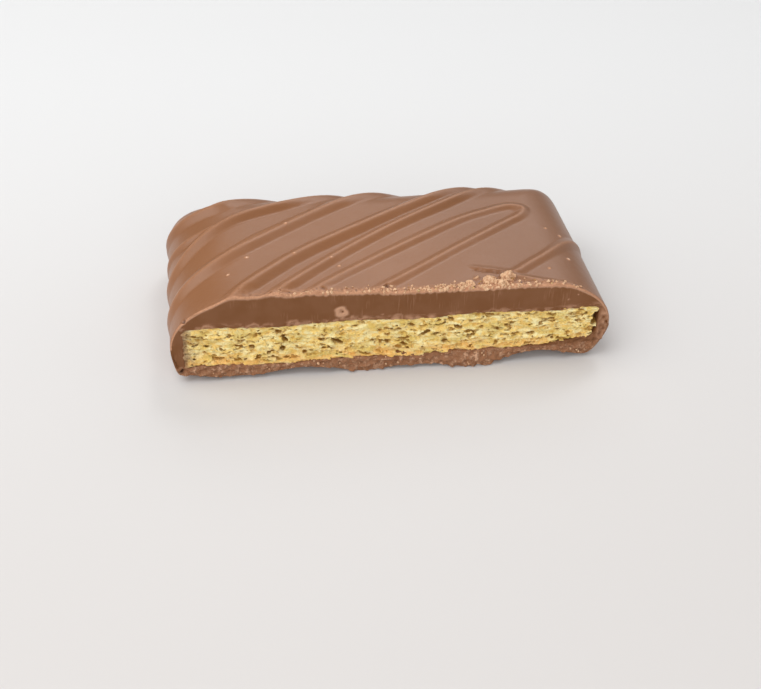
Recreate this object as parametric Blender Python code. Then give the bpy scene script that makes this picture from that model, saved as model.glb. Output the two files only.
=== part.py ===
"""Half of a graham cracker coated in milk chocolate, cut across its middle.

The piece lies flat on its base. The origin is on the floor under the middle of the piece,
+X runs along the cut face, +Y from the cut face to the far side, and +Z is up.
Two solids make it: the chocolate coating, with the drizzled strings that have melted into
its top, and the biscuit that fills it and shows at the cut.
"""

import math

import bmesh
import bpy
import numpy as np
from mathutils import Vector, noise

MM = 0.001

# The coated form, in millimetres.
HALF_WIDTH = 33.0
CUT_Y = -16.75
REAR_Y = 17.25
REAR_SKEW = 0.02  # how far the far side draws away from the cut for each millimetre of +X
TOP_HEIGHT = 13.9  # the top's flat, midway along the cut
TOP_TILT = 0.022  # how much the top falls at the cut for each millimetre of +X
GIRTH_HEIGHT = 6.0  # where the sides bulge furthest
CORNER_POWER = 6.0  # a higher power squares the far corners
# How far in from each side the top starts to fall, and how far the foot tucks in below.
SHOULDER_LEFT, SHOULDER_RIGHT, SHOULDER_REAR = 13.0, 9.0, 8.8
FOOT_LEFT, FOOT_RIGHT, FOOT_REAR = 1.35, 3.0, 1.7
FOOT_CURVE = 0.6  # below 1, the foot curls in gently under the girth
FOOT_ROUNDING = 1.2
RIPPLE_BROAD, RIPPLE_FINE = 0.12, 0.07  # heights of the slow waves in the set coating

# The underside by the cut, where the coating is broken away.
BASE_LIFT = 0.5
BASE_LIFT_DEPTH = 11.0  # how far behind the cut the underside reaches the floor
# Each place is (x, half length, height): hollows stand off the floor, lumps reach it.
BASE_HOLLOWS = ((-31.5, 5.0, 0.7), (-13.5, 7.5, 0.85), (22.3, 7.5, 1.2))
BASE_LUMPS = ((11.8, 6.5, -0.7), (-4.2, 5.0, -0.5))
RAGGED_OUT = 0.1  # how far the broken edge of the lower layer stands out of the cut
RAGGED_LUMP = 0.8  # and how much more the largest lump does
RAGGED_GRAIN = 0.4
RAGGED_OVERLAP, RAGGED_FADE = 0.2, 1.5  # it starts this far over the biscuit's lower skin

# The biscuit, in millimetres.
BISCUIT_LEFT = -31.3
BISCUIT_RIGHT = 31.2
BISCUIT_BOTTOM = 2.3
BISCUIT_TOP = 9.15
BISCUIT_REAR_WALL = 1.9  # chocolate between the biscuit and the far side
BISCUIT_ROUNDING = 1.1
BISCUIT_WAVE = 0.2
BISCUIT_WAVELENGTH = 20.0
BISCUIT_WAVE_CREST = -7.0  # the x of one of the wave's crests
BROKEN_END = (15.0, 1.6)  # the lower right end rises from this x, by this much at its tip
POCKET_GAP = 0.3  # clearance all round the biscuit
CRUMB_PITCH = 0.85  # spacing of the crags on the biscuit's cut face
CRUMB_DEPTH = 0.5
END_VOID = (1.3, 2.2, 2.0)  # air gap beside the right end: half along, half into and up
END_VOID_HEIGHT = 7.0
END_VOID_ROUNDING = 0.6

# Facets.
GRID_STEP = 0.4  # spacing of the form's mesh before it is thinned
FACE_ROWS = 30
BLOCK_STEP = 4.0
COATING_SHARE_KEPT = 0.12  # share of the coating's triangles that the thinning keeps
STRING_STEP = 0.25  # spacing of the points worked out along a string
STRING_CREST = 1.4  # a string's back: 1 is a ridge and 2 is round
STRING_FOOT = 1.3  # how softly a string runs out at its foot
STRING_WORN, STRING_WORN_DEPTH = 0.45, 2.5  # share of its height left at the cut, and how far in
STRING_RUNOFF = 0.35  # share of its height that a string keeps where it runs over the girth


def from_cut(*points):
    """Points given as (x, distance behind the cut face), as plan points."""
    return [(x, CUT_Y + behind) for x, behind in points]


# The chocolate was drizzled to and fro across the whole square, so the passes are nearly
# parallel. Each is (height, half width, where it crosses the edges, bends and turns).
DRIZZLE = (
    (1.0, 2.0, from_cut((-37, 29.5), (-32, 27.3), (-27, 27), (-23, 28.2), (-9, 36))),
    (0.95, 1.6, from_cut((-36, 11.5), (-31, 15.5), (-27, 19), (-20.5, 23.4), (-10, 28.5), (0, 34))),
    (0.7, 1.2, from_cut((-36, 20.5), (-28, 20.5), (-25.5, 21))),
    (0.9, 1.8, from_cut((-36, 3.5), (-31.5, 7), (-23.5, 12), (-10.5, 22.5), (7, 34))),
    (0.45, 1.0, from_cut((-24, 12), (-19, 17), (-12, 22.5))),
    (1.0, 1.8, from_cut((-28, -4), (-18, 6.2), (-13.5, 10.6), (-8, 15), (2.5, 22), (20, 33))),
    (0.8, 1.5, from_cut((-22, -4), (-15, 3), (-5.5, 12), (5, 20), (25, 34))),
    (
        0.5, 1.3,
        from_cut(
            (-18, -4.5), (-9.5, 3), (-2.7, 8.4), (5, 14), (13, 19.6), (18.5, 22.1), (22, 23),
            (24, 22), (23, 20), (19.5, 17.5), (9.5, 10), (-1, 2), (-8, -4),
        ),
    ),
    (0.55, 1.35, from_cut((38, 21.5), (30, 14), (25, 8.8), (21, 5.6), (16.5, 1.8))),
    (0.35, 1.0, from_cut((17.5, 3), (22.5, 1), (26.5, 0), (31, -3))),
)


def clear_scene():
    for old in list(bpy.data.objects):
        bpy.data.objects.remove(old, do_unlink=True)


def material(name, colour, roughness):
    made = bpy.data.materials.new(name)
    made.use_nodes = True
    shader = made.node_tree.nodes["Principled BSDF"]
    shader.inputs["Base Color"].default_value = (*colour, 1.0)
    shader.inputs["Roughness"].default_value = roughness
    shader.inputs["Metallic"].default_value = 0.0
    made.diffuse_color = (*colour, 1.0)
    return made


def object_from(bm, name, finish):
    """A finished bmesh, given in millimetres, as a smooth-shaded object in metres."""
    bmesh.ops.triangulate(bm, faces=bm.faces)
    bmesh.ops.scale(bm, vec=(MM, MM, MM), verts=bm.verts)
    bmesh.ops.recalc_face_normals(bm, faces=bm.faces)
    mesh = bpy.data.meshes.new(name)
    bm.to_mesh(mesh)
    bm.free()
    mesh.shade_smooth()
    mesh.set_sharp_from_angle(angle=math.radians(40))
    mesh.materials.append(finish)
    made = bpy.data.objects.new(name, mesh)
    bpy.context.scene.collection.objects.link(made)
    return made


def bump(value, centre, half_width):
    """A smooth hump, 1 at its centre and 0 beyond half_width."""
    away = np.clip(np.abs(value - centre) / half_width, 0, 1)
    return (1 - away**2) ** 2


def rounded_max(a, b, rounding):
    """The greater of two heights, with the corner between them rounded."""
    blend = np.clip(rounding - np.abs(a - b), 0, None) / rounding
    return np.maximum(a, b) + blend**2 * rounding / 4


# ---------------------------------------------------------------- drizzled strings


def smooth_path(points):
    """A smooth curve through a few points, as closely spaced points (Catmull-Rom)."""
    knots = np.array(points, float)
    ends = (2 * knots[0] - knots[1], 2 * knots[-1] - knots[-2])
    knots = np.vstack([ends[0], knots, ends[1]])
    made = []
    for before, start, end, after in zip(knots, knots[1:], knots[2:], knots[3:]):
        steps = max(2, int(np.linalg.norm(end - start) / STRING_STEP))
        t = np.linspace(0, 1, steps, endpoint=False)[:, None]
        cubic = 2 * start + (end - before) * t
        cubic = cubic + (2 * before - 5 * start + 4 * end - after) * t**2
        cubic = cubic + (3 * start - before - 3 * end + after) * t**3
        made.append(cubic / 2)
    made.append(knots[-2][None])
    return np.vstack(made)


def distance_to(path, x, y):
    """Distance in plan from each point (x, y) to a path of closely spaced points."""
    points = np.stack([x.ravel(), y.ravel()], axis=1)
    found = np.full(len(points), np.inf)
    for start in range(0, len(path), 64):
        piece = path[start : start + 64]
        gap = np.linalg.norm(points[:, None, :] - piece[None, :, :], axis=2).min(axis=1)
        found = np.minimum(found, gap)
    return found.reshape(x.shape)


def string_relief(x, y):
    """How far the melted strings stand up from the coating at each plan point."""
    relief = np.zeros_like(x)
    for height, half_width, points in DRIZZLE:
        away = np.clip(distance_to(smooth_path(points), x, y) / half_width, 0, 1)
        relief = np.maximum(relief, height * (1 - away**STRING_CREST) ** STRING_FOOT)
    whole = np.clip((y - CUT_Y) / STRING_WORN_DEPTH, 0, 1)
    return relief * (STRING_WORN + (1 - STRING_WORN) * whole)


# ---------------------------------------------------------------- coated form


def ring_values(x, y):
    """How far out over each shoulder a plan point lies: 0 on the flat, 1 at the girth."""
    left = (-x - (HALF_WIDTH - SHOULDER_LEFT)) / SHOULDER_LEFT
    right = (x - (HALF_WIDTH - SHOULDER_RIGHT)) / SHOULDER_RIGHT
    rear = (y - (REAR_Y - SHOULDER_REAR)) / SHOULDER_REAR
    return np.clip(np.maximum(left, right), 0, 1), np.clip(rear, 0, 1)


def dome(ring):
    """Height over the girth, as a share: a quarter ellipse from the flat to the girth."""
    return np.sqrt(np.clip(1 - ring**2, 0, 1))


def stations(low, high, rise_at):
    """Positions from low to high, spaced evenly along the rounded section over them."""
    fine = np.linspace(low, high, 4001)
    section = rise_at(fine)
    run = np.concatenate([[0], np.cumsum(np.hypot(np.diff(fine), np.diff(section)))])
    count = int(run[-1] / GRID_STEP) + 1
    return np.interp(np.linspace(0, run[-1], count), run, fine)


def plan_grid():
    """The form's mesh lines in plan, with the far corners drawn in round, and its rings."""
    rise = TOP_HEIGHT - GIRTH_HEIGHT
    across = stations(
        -HALF_WIDTH, HALF_WIDTH, lambda x: rise * dome(ring_values(x, CUT_Y + 0 * x)[0])
    )
    along = stations(CUT_Y, REAR_Y, lambda y: rise * dome(ring_values(0 * y, y)[1]))
    x, y = np.meshgrid(across, along, indexing="ij")
    side, rear = ring_values(x, y)
    ring = np.maximum(side, rear)
    powers = side**CORNER_POWER, rear**CORNER_POWER
    norm = np.maximum((powers[0] + powers[1]) ** (1 / CORNER_POWER), 1e-9)
    pull = np.where(ring > 0, ring / norm - 1, 0.0)
    side_share = powers[0] / np.maximum(powers[0] + powers[1], 1e-9)
    shoulder = np.where(x < 0, SHOULDER_LEFT, SHOULDER_RIGHT)
    foot = np.where(x < 0, FOOT_LEFT, FOOT_RIGHT)
    inset = (1 - ring) * (side_share * shoulder + (1 - side_share) * SHOULDER_REAR)
    tuck = inset / (side_share * foot + (1 - side_share) * FOOT_REAR)
    x = x + np.sign(x) * shoulder * side * pull
    y = y + SHOULDER_REAR * rear * pull
    return x, y + skew(x, y), ring, tuck


def behind_share(y):
    """How far back a plan point lies, from 0 at the cut to 1 at the far side."""
    return (y - CUT_Y) / (REAR_Y - CUT_Y)


def skew(x, y):
    """How far a plan point shifts back, because the cut is not square to the far side."""
    return REAR_SKEW * x * behind_share(y)


def ripple(x, y):
    """The slow unevenness of a coating that set on an uneven biscuit."""
    broad = RIPPLE_BROAD * np.sin(0.21 * x + 0.9) * np.cos(0.17 * y - 0.4)
    return broad + RIPPLE_FINE * np.sin(0.43 * x - 0.31 * y)


def outward(points):
    """Unit normals of a grid of points, kept level with the cut face along its edge."""
    normal = np.cross(np.gradient(points, axis=0), np.gradient(points, axis=1))
    normal[:, 0, 1] = 0.0
    return normal / np.maximum(np.linalg.norm(normal, axis=-1, keepdims=True), 1e-9)


def upper_surface(x, y, ring, relief):
    """The top and shoulders as points, with the strings standing out along the normal."""
    top = TOP_HEIGHT - TOP_TILT * x * (1 - behind_share(y)) + ripple(x, y)
    z = GIRTH_HEIGHT + (top - GIRTH_HEIGHT) * dome(ring)
    points = np.stack([x, y, z], axis=-1)
    raised = relief * (STRING_RUNOFF + (1 - STRING_RUNOFF) * dome(ring))
    return points + outward(points) * raised[..., None]


def base_height(x, y):
    """How far the broken underside stands off the floor, by the cut."""
    height = BASE_LIFT + 0 * x
    for place, half_length, rise in BASE_HOLLOWS + BASE_LUMPS:
        height = height + rise * bump(x, place, half_length)
    return np.clip(height, 0, None) * bump(y, CUT_Y, BASE_LIFT_DEPTH)


def lower_surface(x, y, tuck, relief, upper):
    """The sides below the girth and the base, under the same plan points."""
    side = GIRTH_HEIGHT * (1 - tuck**FOOT_CURVE)
    z = rounded_max(side, base_height(x, y), FOOT_ROUNDING)
    points = np.stack([x, y, z], axis=-1)
    fade = STRING_RUNOFF * np.clip(z / GIRTH_HEIGHT, 0, 1) * (tuck < 1)
    points = points - outward(points) * (relief * fade)[..., None]
    for edge in (np.s_[0, :], np.s_[-1, :], np.s_[:, -1]):
        points[edge] = upper[edge]
    return points


def ragged(x, z):
    """How far the broken lower layer stands out of the cut face at (x, z)."""
    low = np.clip((BISCUIT_BOTTOM + RAGGED_OVERLAP - z) / RAGGED_FADE, 0, 1)
    out = RAGGED_OUT + RAGGED_LUMP * bump(x, BASE_LUMPS[0][0], BASE_LUMPS[0][1])
    spots = [noise.noise(Vector((0.9 * px, 3.1, 1.3 * pz))) for px, pz in zip(x.flat, z.flat)]
    return low * (out + RAGGED_GRAIN * np.reshape(spots, x.shape))


def add_sheet(bm, points, flip=False):
    """A grid of quads over an array of points."""
    verts = [[bm.verts.new(p) for p in row] for row in points]
    for a, b in zip(verts, verts[1:]):
        for p, q, r, s in zip(a, b, b[1:], a[1:]):
            bm.faces.new((s, r, q, p) if flip else (p, q, r, s))


def coated_form():
    """The whole half as one closed shape: upper sheet, lower sheet and cut face."""
    x, y, ring, tuck = plan_grid()
    relief = string_relief(x, y)
    upper = upper_surface(x, y, ring, relief)
    lower = lower_surface(x, y, tuck, relief, upper)
    share = np.linspace(0, 1, FACE_ROWS)
    face = lower[:, :1] * (1 - share[:, None]) + upper[:, :1] * share[:, None]
    inside = (share > 0) & (share < 1)
    face[..., 1] -= inside * ragged(face[..., 0], face[..., 2])
    bm = bmesh.new()
    add_sheet(bm, upper)
    add_sheet(bm, lower, flip=True)
    add_sheet(bm, face)
    bmesh.ops.remove_doubles(bm, verts=bm.verts, dist=1e-4)
    bmesh.ops.dissolve_degenerate(bm, dist=1e-4, edges=bm.edges)
    return bm


# ---------------------------------------------------------------- biscuit


def slab(grow, front):
    """The biscuit's rounded block, grown by a clearance, with its front at a given y."""
    low = Vector((BISCUIT_LEFT - grow, front, BISCUIT_BOTTOM - grow))
    high = Vector((BISCUIT_RIGHT + grow, REAR_Y - BISCUIT_REAR_WALL + grow, BISCUIT_TOP + grow))
    bm = bmesh.new()
    bmesh.ops.create_cube(bm, size=1)
    for vert in bm.verts:
        vert.co = Vector(low[k] if vert.co[k] < 0 else high[k] for k in range(3))
    rim = [e for e in bm.edges if max(v.co.y for v in e.verts) > front + 1e-6]
    bmesh.ops.bevel(
        bm, geom=rim, offset=BISCUIT_ROUNDING + grow, segments=3, profile=0.5,
        affect="EDGES", clamp_overlap=True,
    )
    cut_lines(bm, set(bm.faces), 0, BISCUIT_LEFT, BISCUIT_RIGHT, BLOCK_STEP)
    return bm


def cut_lines(bm, faces, axis, low, high, pitch):
    """Adds evenly spaced mesh lines across some faces, square to one axis."""
    normal = Vector((axis == 0, axis == 1, axis == 2))
    for place in np.arange(low + pitch / 2, high, pitch):
        parts = [*faces, *{e for f in faces for e in f.edges}, *{v for f in faces for v in f.verts}]
        done = bmesh.ops.bisect_plane(
            bm, geom=parts, plane_co=normal * float(place), plane_no=normal, dist=1e-5
        )
        faces = {f for f in done["geom"] if isinstance(f, bmesh.types.BMFace)}
    return faces


def wave_block(bm):
    """Bends the block as the baked sheet waves, with its lower right end broken away."""
    start, rise = BROKEN_END
    for vert in bm.verts:
        x, y, z = vert.co
        vert.co.y += skew(x, y)
        wave = BISCUIT_WAVE * math.cos(math.tau * (x - BISCUIT_WAVE_CREST) / BISCUIT_WAVELENGTH)
        along = min(max((x - start) / (BISCUIT_RIGHT - start), 0), 1)
        lowness = min(max((BISCUIT_TOP - z) / (BISCUIT_TOP - BISCUIT_BOTTOM), 0), 1)
        vert.co.z += wave + rise * along**1.5 * lowness


def crumb_relief(bm):
    """Pits and crags on the cut face of the biscuit."""
    for vert in bm.verts:
        x, y, z = vert.co
        edge = min(x - BISCUIT_LEFT, BISCUIT_RIGHT - x, z - BISCUIT_BOTTOM, BISCUIT_TOP - z)
        if y < CUT_Y + 1e-3 and edge > 0.3:
            open_grain = noise.noise(Vector((0.75 * x, 0.0, 1.7 * z)))
            fine_grain = noise.noise(Vector((2.3 * x, 5.0, 3.9 * z)))
            vert.co.y += CRUMB_DEPTH * (0.35 + 0.9 * open_grain + 0.5 * fine_grain)


def biscuit_form():
    bm = slab(0.0, CUT_Y)
    front = {f for f in bm.faces if all(v.co.y < CUT_Y + 1e-4 for v in f.verts)}
    front = cut_lines(bm, front, 0, BISCUIT_LEFT, BISCUIT_RIGHT, CRUMB_PITCH)
    cut_lines(bm, front, 2, BISCUIT_BOTTOM, BISCUIT_TOP, CRUMB_PITCH)
    crumb_relief(bm)
    wave_block(bm)
    return bm


def pocket_form():
    """The room that the biscuit takes in the chocolate, open through the cut face."""
    bm = slab(POCKET_GAP, CUT_Y - 3.0)
    wave_block(bm)
    return bm


def end_void_form():
    """The air gap at the biscuit's right end, as a rounded block."""
    along, into, height = END_VOID
    bm = bmesh.new()
    bmesh.ops.create_cube(bm, size=1)
    bmesh.ops.scale(bm, vec=(2 * along, 2 * into, height), verts=bm.verts)
    bmesh.ops.bevel(
        bm, geom=bm.edges, offset=END_VOID_ROUNDING, segments=2, profile=0.5, affect="EDGES"
    )
    bmesh.ops.translate(bm, vec=(BISCUIT_RIGHT, CUT_Y, END_VOID_HEIGHT), verts=bm.verts)
    return bm


def subtract(target, cutter):
    cutter.hide_render = True
    cutter.display_type = "WIRE"
    cut = target.modifiers.new(cutter.name, "BOOLEAN")
    cut.operation = "DIFFERENCE"
    cut.solver = "EXACT"
    cut.object = cutter


def main():
    clear_scene()
    chocolate = material("milk_chocolate", (0.262, 0.139, 0.083), 0.42)
    biscuit = material("baked_biscuit", (0.68, 0.49, 0.22), 0.85)

    coating = object_from(coated_form(), "chocolate_coating", chocolate)
    thin = coating.modifiers.new("thin", "DECIMATE")
    thin.decimate_type = "COLLAPSE"
    thin.ratio = COATING_SHARE_KEPT
    subtract(coating, object_from(pocket_form(), "pocket", chocolate))

    cracker = object_from(biscuit_form(), "graham_cracker", biscuit)
    subtract(cracker, object_from(end_void_form(), "end_void", biscuit))


main()
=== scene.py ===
"""Half of a chocolate coated graham cracker, cut across its middle: its looks.

The coating is one fine mesh whose shape follows the same rules as the solid it replaces. The
biscuit is a sponge that Geometry Nodes carve from fields of pores, and more trees scatter the
crumbs that the knife left. Sizes are in millimetres, and meshes in metres.
"""

import logging
import math
from dataclasses import dataclass, field
from enum import Enum

import bmesh
import bpy
import numpy as np
from mathutils import Matrix, Quaternion, Vector, noise


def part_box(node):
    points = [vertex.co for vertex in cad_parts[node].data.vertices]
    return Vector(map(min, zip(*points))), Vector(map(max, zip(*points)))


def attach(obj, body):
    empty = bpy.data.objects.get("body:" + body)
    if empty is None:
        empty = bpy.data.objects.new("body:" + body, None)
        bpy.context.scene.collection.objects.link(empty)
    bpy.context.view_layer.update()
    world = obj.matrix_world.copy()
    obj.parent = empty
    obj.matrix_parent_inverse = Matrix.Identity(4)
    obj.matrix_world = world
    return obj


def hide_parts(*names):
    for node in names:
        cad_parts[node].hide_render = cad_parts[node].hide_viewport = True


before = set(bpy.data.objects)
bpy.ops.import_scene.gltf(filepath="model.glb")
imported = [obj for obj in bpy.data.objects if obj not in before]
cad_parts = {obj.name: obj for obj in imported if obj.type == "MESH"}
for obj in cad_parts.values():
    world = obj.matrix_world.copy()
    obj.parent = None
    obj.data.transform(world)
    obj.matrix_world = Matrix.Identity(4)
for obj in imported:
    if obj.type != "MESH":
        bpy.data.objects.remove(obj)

MM = 0.001
BODY = "root"
COATING_NODE = "chocolate_coating"
CRACKER_NODE = "graham_cracker"
CHOCOLATE_SLOT = "milk_chocolate"
BISCUIT_SLOT = "baked_biscuit"
PICTURE_WIDTH, PICTURE_HEIGHT = 761, 689

Pair = tuple[float, float]
Triple = tuple[float, float, float]

log = logging.getLogger("cracker")


# ------------------------------------------------------------------ node trees


@dataclass(frozen=True)
class Signal:
    """A socket of a node tree; arithmetic on it adds Math nodes."""

    tree: "Tree"
    socket: bpy.types.NodeSocket

    def math(self, operation: str, *others: "Signal | float") -> "Signal":
        """Adds one Math node.

        Args:
            operation: The Math node's operation.
            others: Its second and third operands.

        Returns:
            The node's value.
        """
        inputs = dict(enumerate((self, *others)))
        return self.tree.node("ShaderNodeMath", {"operation": operation}, inputs)

    def __add__(self, other: "Signal | float") -> "Signal":
        """Adds."""
        return self.math("ADD", other)

    __radd__ = __add__

    def __sub__(self, other: "Signal | float") -> "Signal":
        """Subtracts."""
        return self.math("SUBTRACT", other)

    def __rsub__(self, other: float) -> "Signal":
        """Subtracts this from a number."""
        return (self * -1.0).math("ADD", other)

    def __mul__(self, other: "Signal | float") -> "Signal":
        """Multiplies."""
        return self.math("MULTIPLY", other)

    __rmul__ = __mul__

    def __truediv__(self, other: "Signal | float") -> "Signal":
        """Divides."""
        return self.math("DIVIDE", other)

    def __rtruediv__(self, other: float) -> "Signal":
        """Divides a number by this."""
        return self.math("POWER", -1.0) * other

    def __pow__(self, power: float) -> "Signal":
        """Raises to a power."""
        return self.math("POWER", power)

    def least(self, other: "Signal | float") -> "Signal":
        """The smaller of two values."""
        return self.math("MINIMUM", other)

    def most(self, other: "Signal | float") -> "Signal":
        """The greater of two values."""
        return self.math("MAXIMUM", other)

    def step(self, low: float, high: float) -> "Signal":
        """A smooth step.

        Args:
            low: The value that gives 0.
            high: The value that gives 1; it may be under low.

        Returns:
            The stepped value, from 0 to 1.
        """
        inputs = {"Value": self, "From Min": low, "From Max": high}
        return self.tree.node("ShaderNodeMapRange", {"interpolation_type": "SMOOTHSTEP"}, inputs)


@dataclass(frozen=True)
class Tree:
    """A shader or geometry node tree under construction."""

    nodes: bpy.types.NodeTree

    def node(
        self,
        kind: str,
        settings: dict | None = None,
        inputs: dict | None = None,
        output: str | int = 0,
    ) -> Signal:
        """Adds a node.

        Args:
            kind: The node's type.
            settings: Its properties, set before its sockets.
            inputs: Values or links for its sockets, by name or index.
            output: The output wanted, by name, or by index among those in use.

        Returns:
            The wanted output.
        """
        made = self.nodes.nodes.new(kind)
        for name, value in (settings or {}).items():
            setattr(made, name, value)
        for name, value in (inputs or {}).items():
            self._feed(self._pick(made.inputs, name), value)
        return Signal(self, self._pick(made.outputs, output))

    def _pick(self, sockets: bpy.types.bpy_prop_collection, key: str | int) -> bpy.types.NodeSocket:
        """The socket in use that has this name or index."""
        used = [socket for socket in sockets if socket.enabled]
        return used[key] if isinstance(key, int) else next(s for s in used if s.name == key)

    def _feed(self, socket: bpy.types.NodeSocket, value: object) -> None:
        """Links a signal to a socket, or sets the socket's value.

        Args:
            socket: The socket.
            value: The signal, or the value.
        """
        if isinstance(value, Signal):
            self.nodes.links.new(value.socket, socket)
        else:
            socket.default_value = value

    def noise(
        self, vector: Signal, scale: float | Triple, detail: float = 2.0, **inputs: float
    ) -> Signal:
        """A noise texture.

        Args:
            vector: Where to read it.
            scale: Its scale, per unit of the vector, or one for each axis.
            detail: Its octaves.
            inputs: More sockets of the node.

        Returns:
            Its value, about 0.5.
        """
        if isinstance(scale, tuple):
            vector, scale = self.vector("MULTIPLY", vector, scale), 1.0
        inputs = {"Vector": vector, "Scale": scale, "Detail": detail, **inputs}
        return self.node("ShaderNodeTexNoise", {"noise_dimensions": "3D"}, inputs)

    def cells(self, vector: Signal, scales: Triple) -> Signal:
        """A Voronoi texture's distance, with one scale for each axis."""
        inputs = {"Vector": self.vector("MULTIPLY", vector, scales), "Scale": 1.0}
        return self.node("ShaderNodeTexVoronoi", {"feature": "F1"}, inputs, "Distance")

    def attribute(self, name: str) -> Signal:
        """The value of a mesh's own attribute, in a shader tree."""
        return self.node("ShaderNodeAttribute", {"attribute_name": name}, None, "Fac")

    def mix(self, share: Signal | float, first: object, second: object) -> Signal:
        """Mixes two colours.

        Args:
            share: How much of the second colour.
            first: A colour or a signal.
            second: A colour or a signal.

        Returns:
            The mixed colour.
        """
        pair = [c if isinstance(c, Signal) else (*c, 1.0) for c in (first, second)]
        inputs = {"Factor": share, "A": pair[0], "B": pair[1]}
        return self.node("ShaderNodeMix", {"data_type": "RGBA"}, inputs)

    def vector(self, operation: str, first: Signal, second: object) -> Signal:
        """Adds one Vector Math node.

        Args:
            operation: The node's operation.
            first: The first vector.
            second: The second vector, or the scale.

        Returns:
            The resulting vector.
        """
        other = "Scale" if operation == "SCALE" else 1
        return self.node("ShaderNodeVectorMath", {"operation": operation}, {0: first, other: second})

    def split(self, vector: Signal) -> list[Signal]:
        """The three parts of a vector."""
        first = self.node("ShaderNodeSeparateXYZ", None, {"Vector": vector})
        return [Signal(self, socket) for socket in first.socket.node.outputs]


class GeometryTree(Tree):
    """A Geometry Nodes tree with named inputs."""

    def __init__(self, name: str) -> None:
        """Starts an empty tree.

        Args:
            name: The tree's name.
        """
        super().__init__(bpy.data.node_groups.new(name, "GeometryNodeTree"))
        interface = self.nodes.interface
        interface.new_socket("Geometry", in_out="INPUT", socket_type="NodeSocketGeometry")
        interface.new_socket("Geometry", in_out="OUTPUT", socket_type="NodeSocketGeometry")

    def inputs(self, **kinds: str) -> dict[str, Signal]:
        """Args:
            kinds: Each input's name and the kind of its socket, such as Float.

        Returns:
            The incoming geometry and each input, by name.
        """
        for name, kind in kinds.items():
            socket_type = "NodeSocket" + kind
            self.nodes.interface.new_socket(name, in_out="INPUT", socket_type=socket_type)
        group = self.node("NodeGroupInput").socket.node
        return {socket.name: Signal(self, socket) for socket in group.outputs if socket.name}

    def finish(self, geometry: Signal, material: Signal) -> None:
        """Ends the tree in Realize Instances and Set Material.

        Args:
            geometry: What the tree made.
            material: The tree's material input.
        """
        real = self.node("GeometryNodeRealizeInstances", None, {"Geometry": geometry})
        inputs = {"Geometry": real, "Material": material}
        dressed = self.node("GeometryNodeSetMaterial", None, inputs)
        output = self.nodes.nodes.new("NodeGroupOutput")
        self.nodes.links.new(dressed.socket, output.inputs[0])

    def apply(self, base: bpy.types.Mesh, name: str, values: dict[str, object]) -> bpy.types.Mesh:
        """Runs the tree on a mesh.

        Args:
            base: The incoming mesh.
            name: The resulting mesh's name.
            values: Each named input's value.

        Returns:
            The result as a plain mesh.
        """
        holder = bpy.data.objects.new(name + "_holder", base)
        bpy.context.scene.collection.objects.link(holder)
        modifier = holder.modifiers.new("nodes", "NODES")
        modifier.node_group = self.nodes
        for item in self.nodes.interface.items_tree:
            if item.in_out == "INPUT" and item.name in values:
                modifier[item.identifier] = values[item.name]
        bpy.context.view_layer.update()
        graph = bpy.context.evaluated_depsgraph_get()
        made = bpy.data.meshes.new_from_object(holder.evaluated_get(graph))
        bpy.data.objects.remove(holder)
        made.name = name
        return made


def place(mesh: bpy.types.Mesh, name: str, slot: str, replaced: str | None = None) -> bpy.types.Object:
    """Puts a finished mesh in the scene as a piece of the object.

    Args:
        mesh: The mesh, in metres in the frame's place.
        name: The piece's name.
        slot: A material slot's name; it is not used.
        replaced: The CAD node that it stands for.

    Returns:
        The piece.
    """
    piece = bpy.data.objects.new(name, mesh)
    bpy.context.scene.collection.objects.link(piece)
    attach(piece, BODY)
    if replaced:
        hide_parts(replaced)
    triangles = sum(len(polygon.vertices) - 2 for polygon in mesh.polygons)
    log.info("%s: %d triangles", name, triangles)
    return piece


# ------------------------------------------------------------------ rules of shape


def bump(value: np.ndarray, centre: float, half_width: float) -> np.ndarray:
    """A smooth hump, 1 at its centre and 0 beyond half_width."""
    away = np.clip(np.abs(value - centre) / half_width, 0, 1)
    return (1 - away**2) ** 2


def ease(value: np.ndarray, low: float, high: float) -> np.ndarray:
    """A smooth step from 0 at low to 1 at high; high may be under low."""
    share = np.clip((value - low) / (high - low), 0, 1)
    return share * share * (3 - 2 * share)


def rounded_max(a: np.ndarray, b: np.ndarray, rounding: float) -> np.ndarray:
    """The greater of two heights, with the corner between them rounded."""
    blend = np.clip(rounding - np.abs(a - b), 0, None) / rounding
    return np.maximum(a, b) + blend**2 * rounding / 4


def dome(ring: np.ndarray) -> np.ndarray:
    """Height over the girth, as a share: a quarter ellipse from the flat to the girth."""
    return np.sqrt(np.clip(1 - ring**2, 0, 1))


def corner_fall(inset: np.ndarray, rounding: float) -> np.ndarray:
    """How far a rounded corner falls away at each distance in from its side."""
    share = np.clip(1 - inset / rounding, 0, 1)
    return rounding * (1 - np.sqrt(1 - share**2))


def outward(points: np.ndarray) -> np.ndarray:
    """Unit normals of a grid of points; those on the cut's edge stay in the cut's plane.

    Args:
        points: The grid.

    Returns:
        A normal for each point.
    """
    normal = np.cross(np.gradient(points, axis=0), np.gradient(points, axis=1))
    normal[:, 0, 1] = 0.0
    return normal / np.maximum(np.linalg.norm(normal, axis=-1, keepdims=True), 1e-9)


def grain(x: np.ndarray, y: np.ndarray, scale: tuple[float, float], seed: float) -> np.ndarray:
    """Smooth noise over two coordinates.

    Args:
        x: First coordinates.
        y: Second coordinates.
        scale: Cells for each millimetre along each.
        seed: Picks the pattern.

    Returns:
        Values from about -1 to 1.
    """
    x, y = np.broadcast_arrays(x, y)
    pairs = zip(np.ravel(x) * scale[0], np.ravel(y) * scale[1])
    return np.reshape([noise.noise(Vector((u, seed, v))) for u, v in pairs], np.shape(x))


def waver(x: np.ndarray, cells: float, seed: float) -> np.ndarray:
    """Smooth noise along the cut, with so many cells for each millimetre."""
    return grain(x, 0 * x, (cells, 1), seed)


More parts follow.
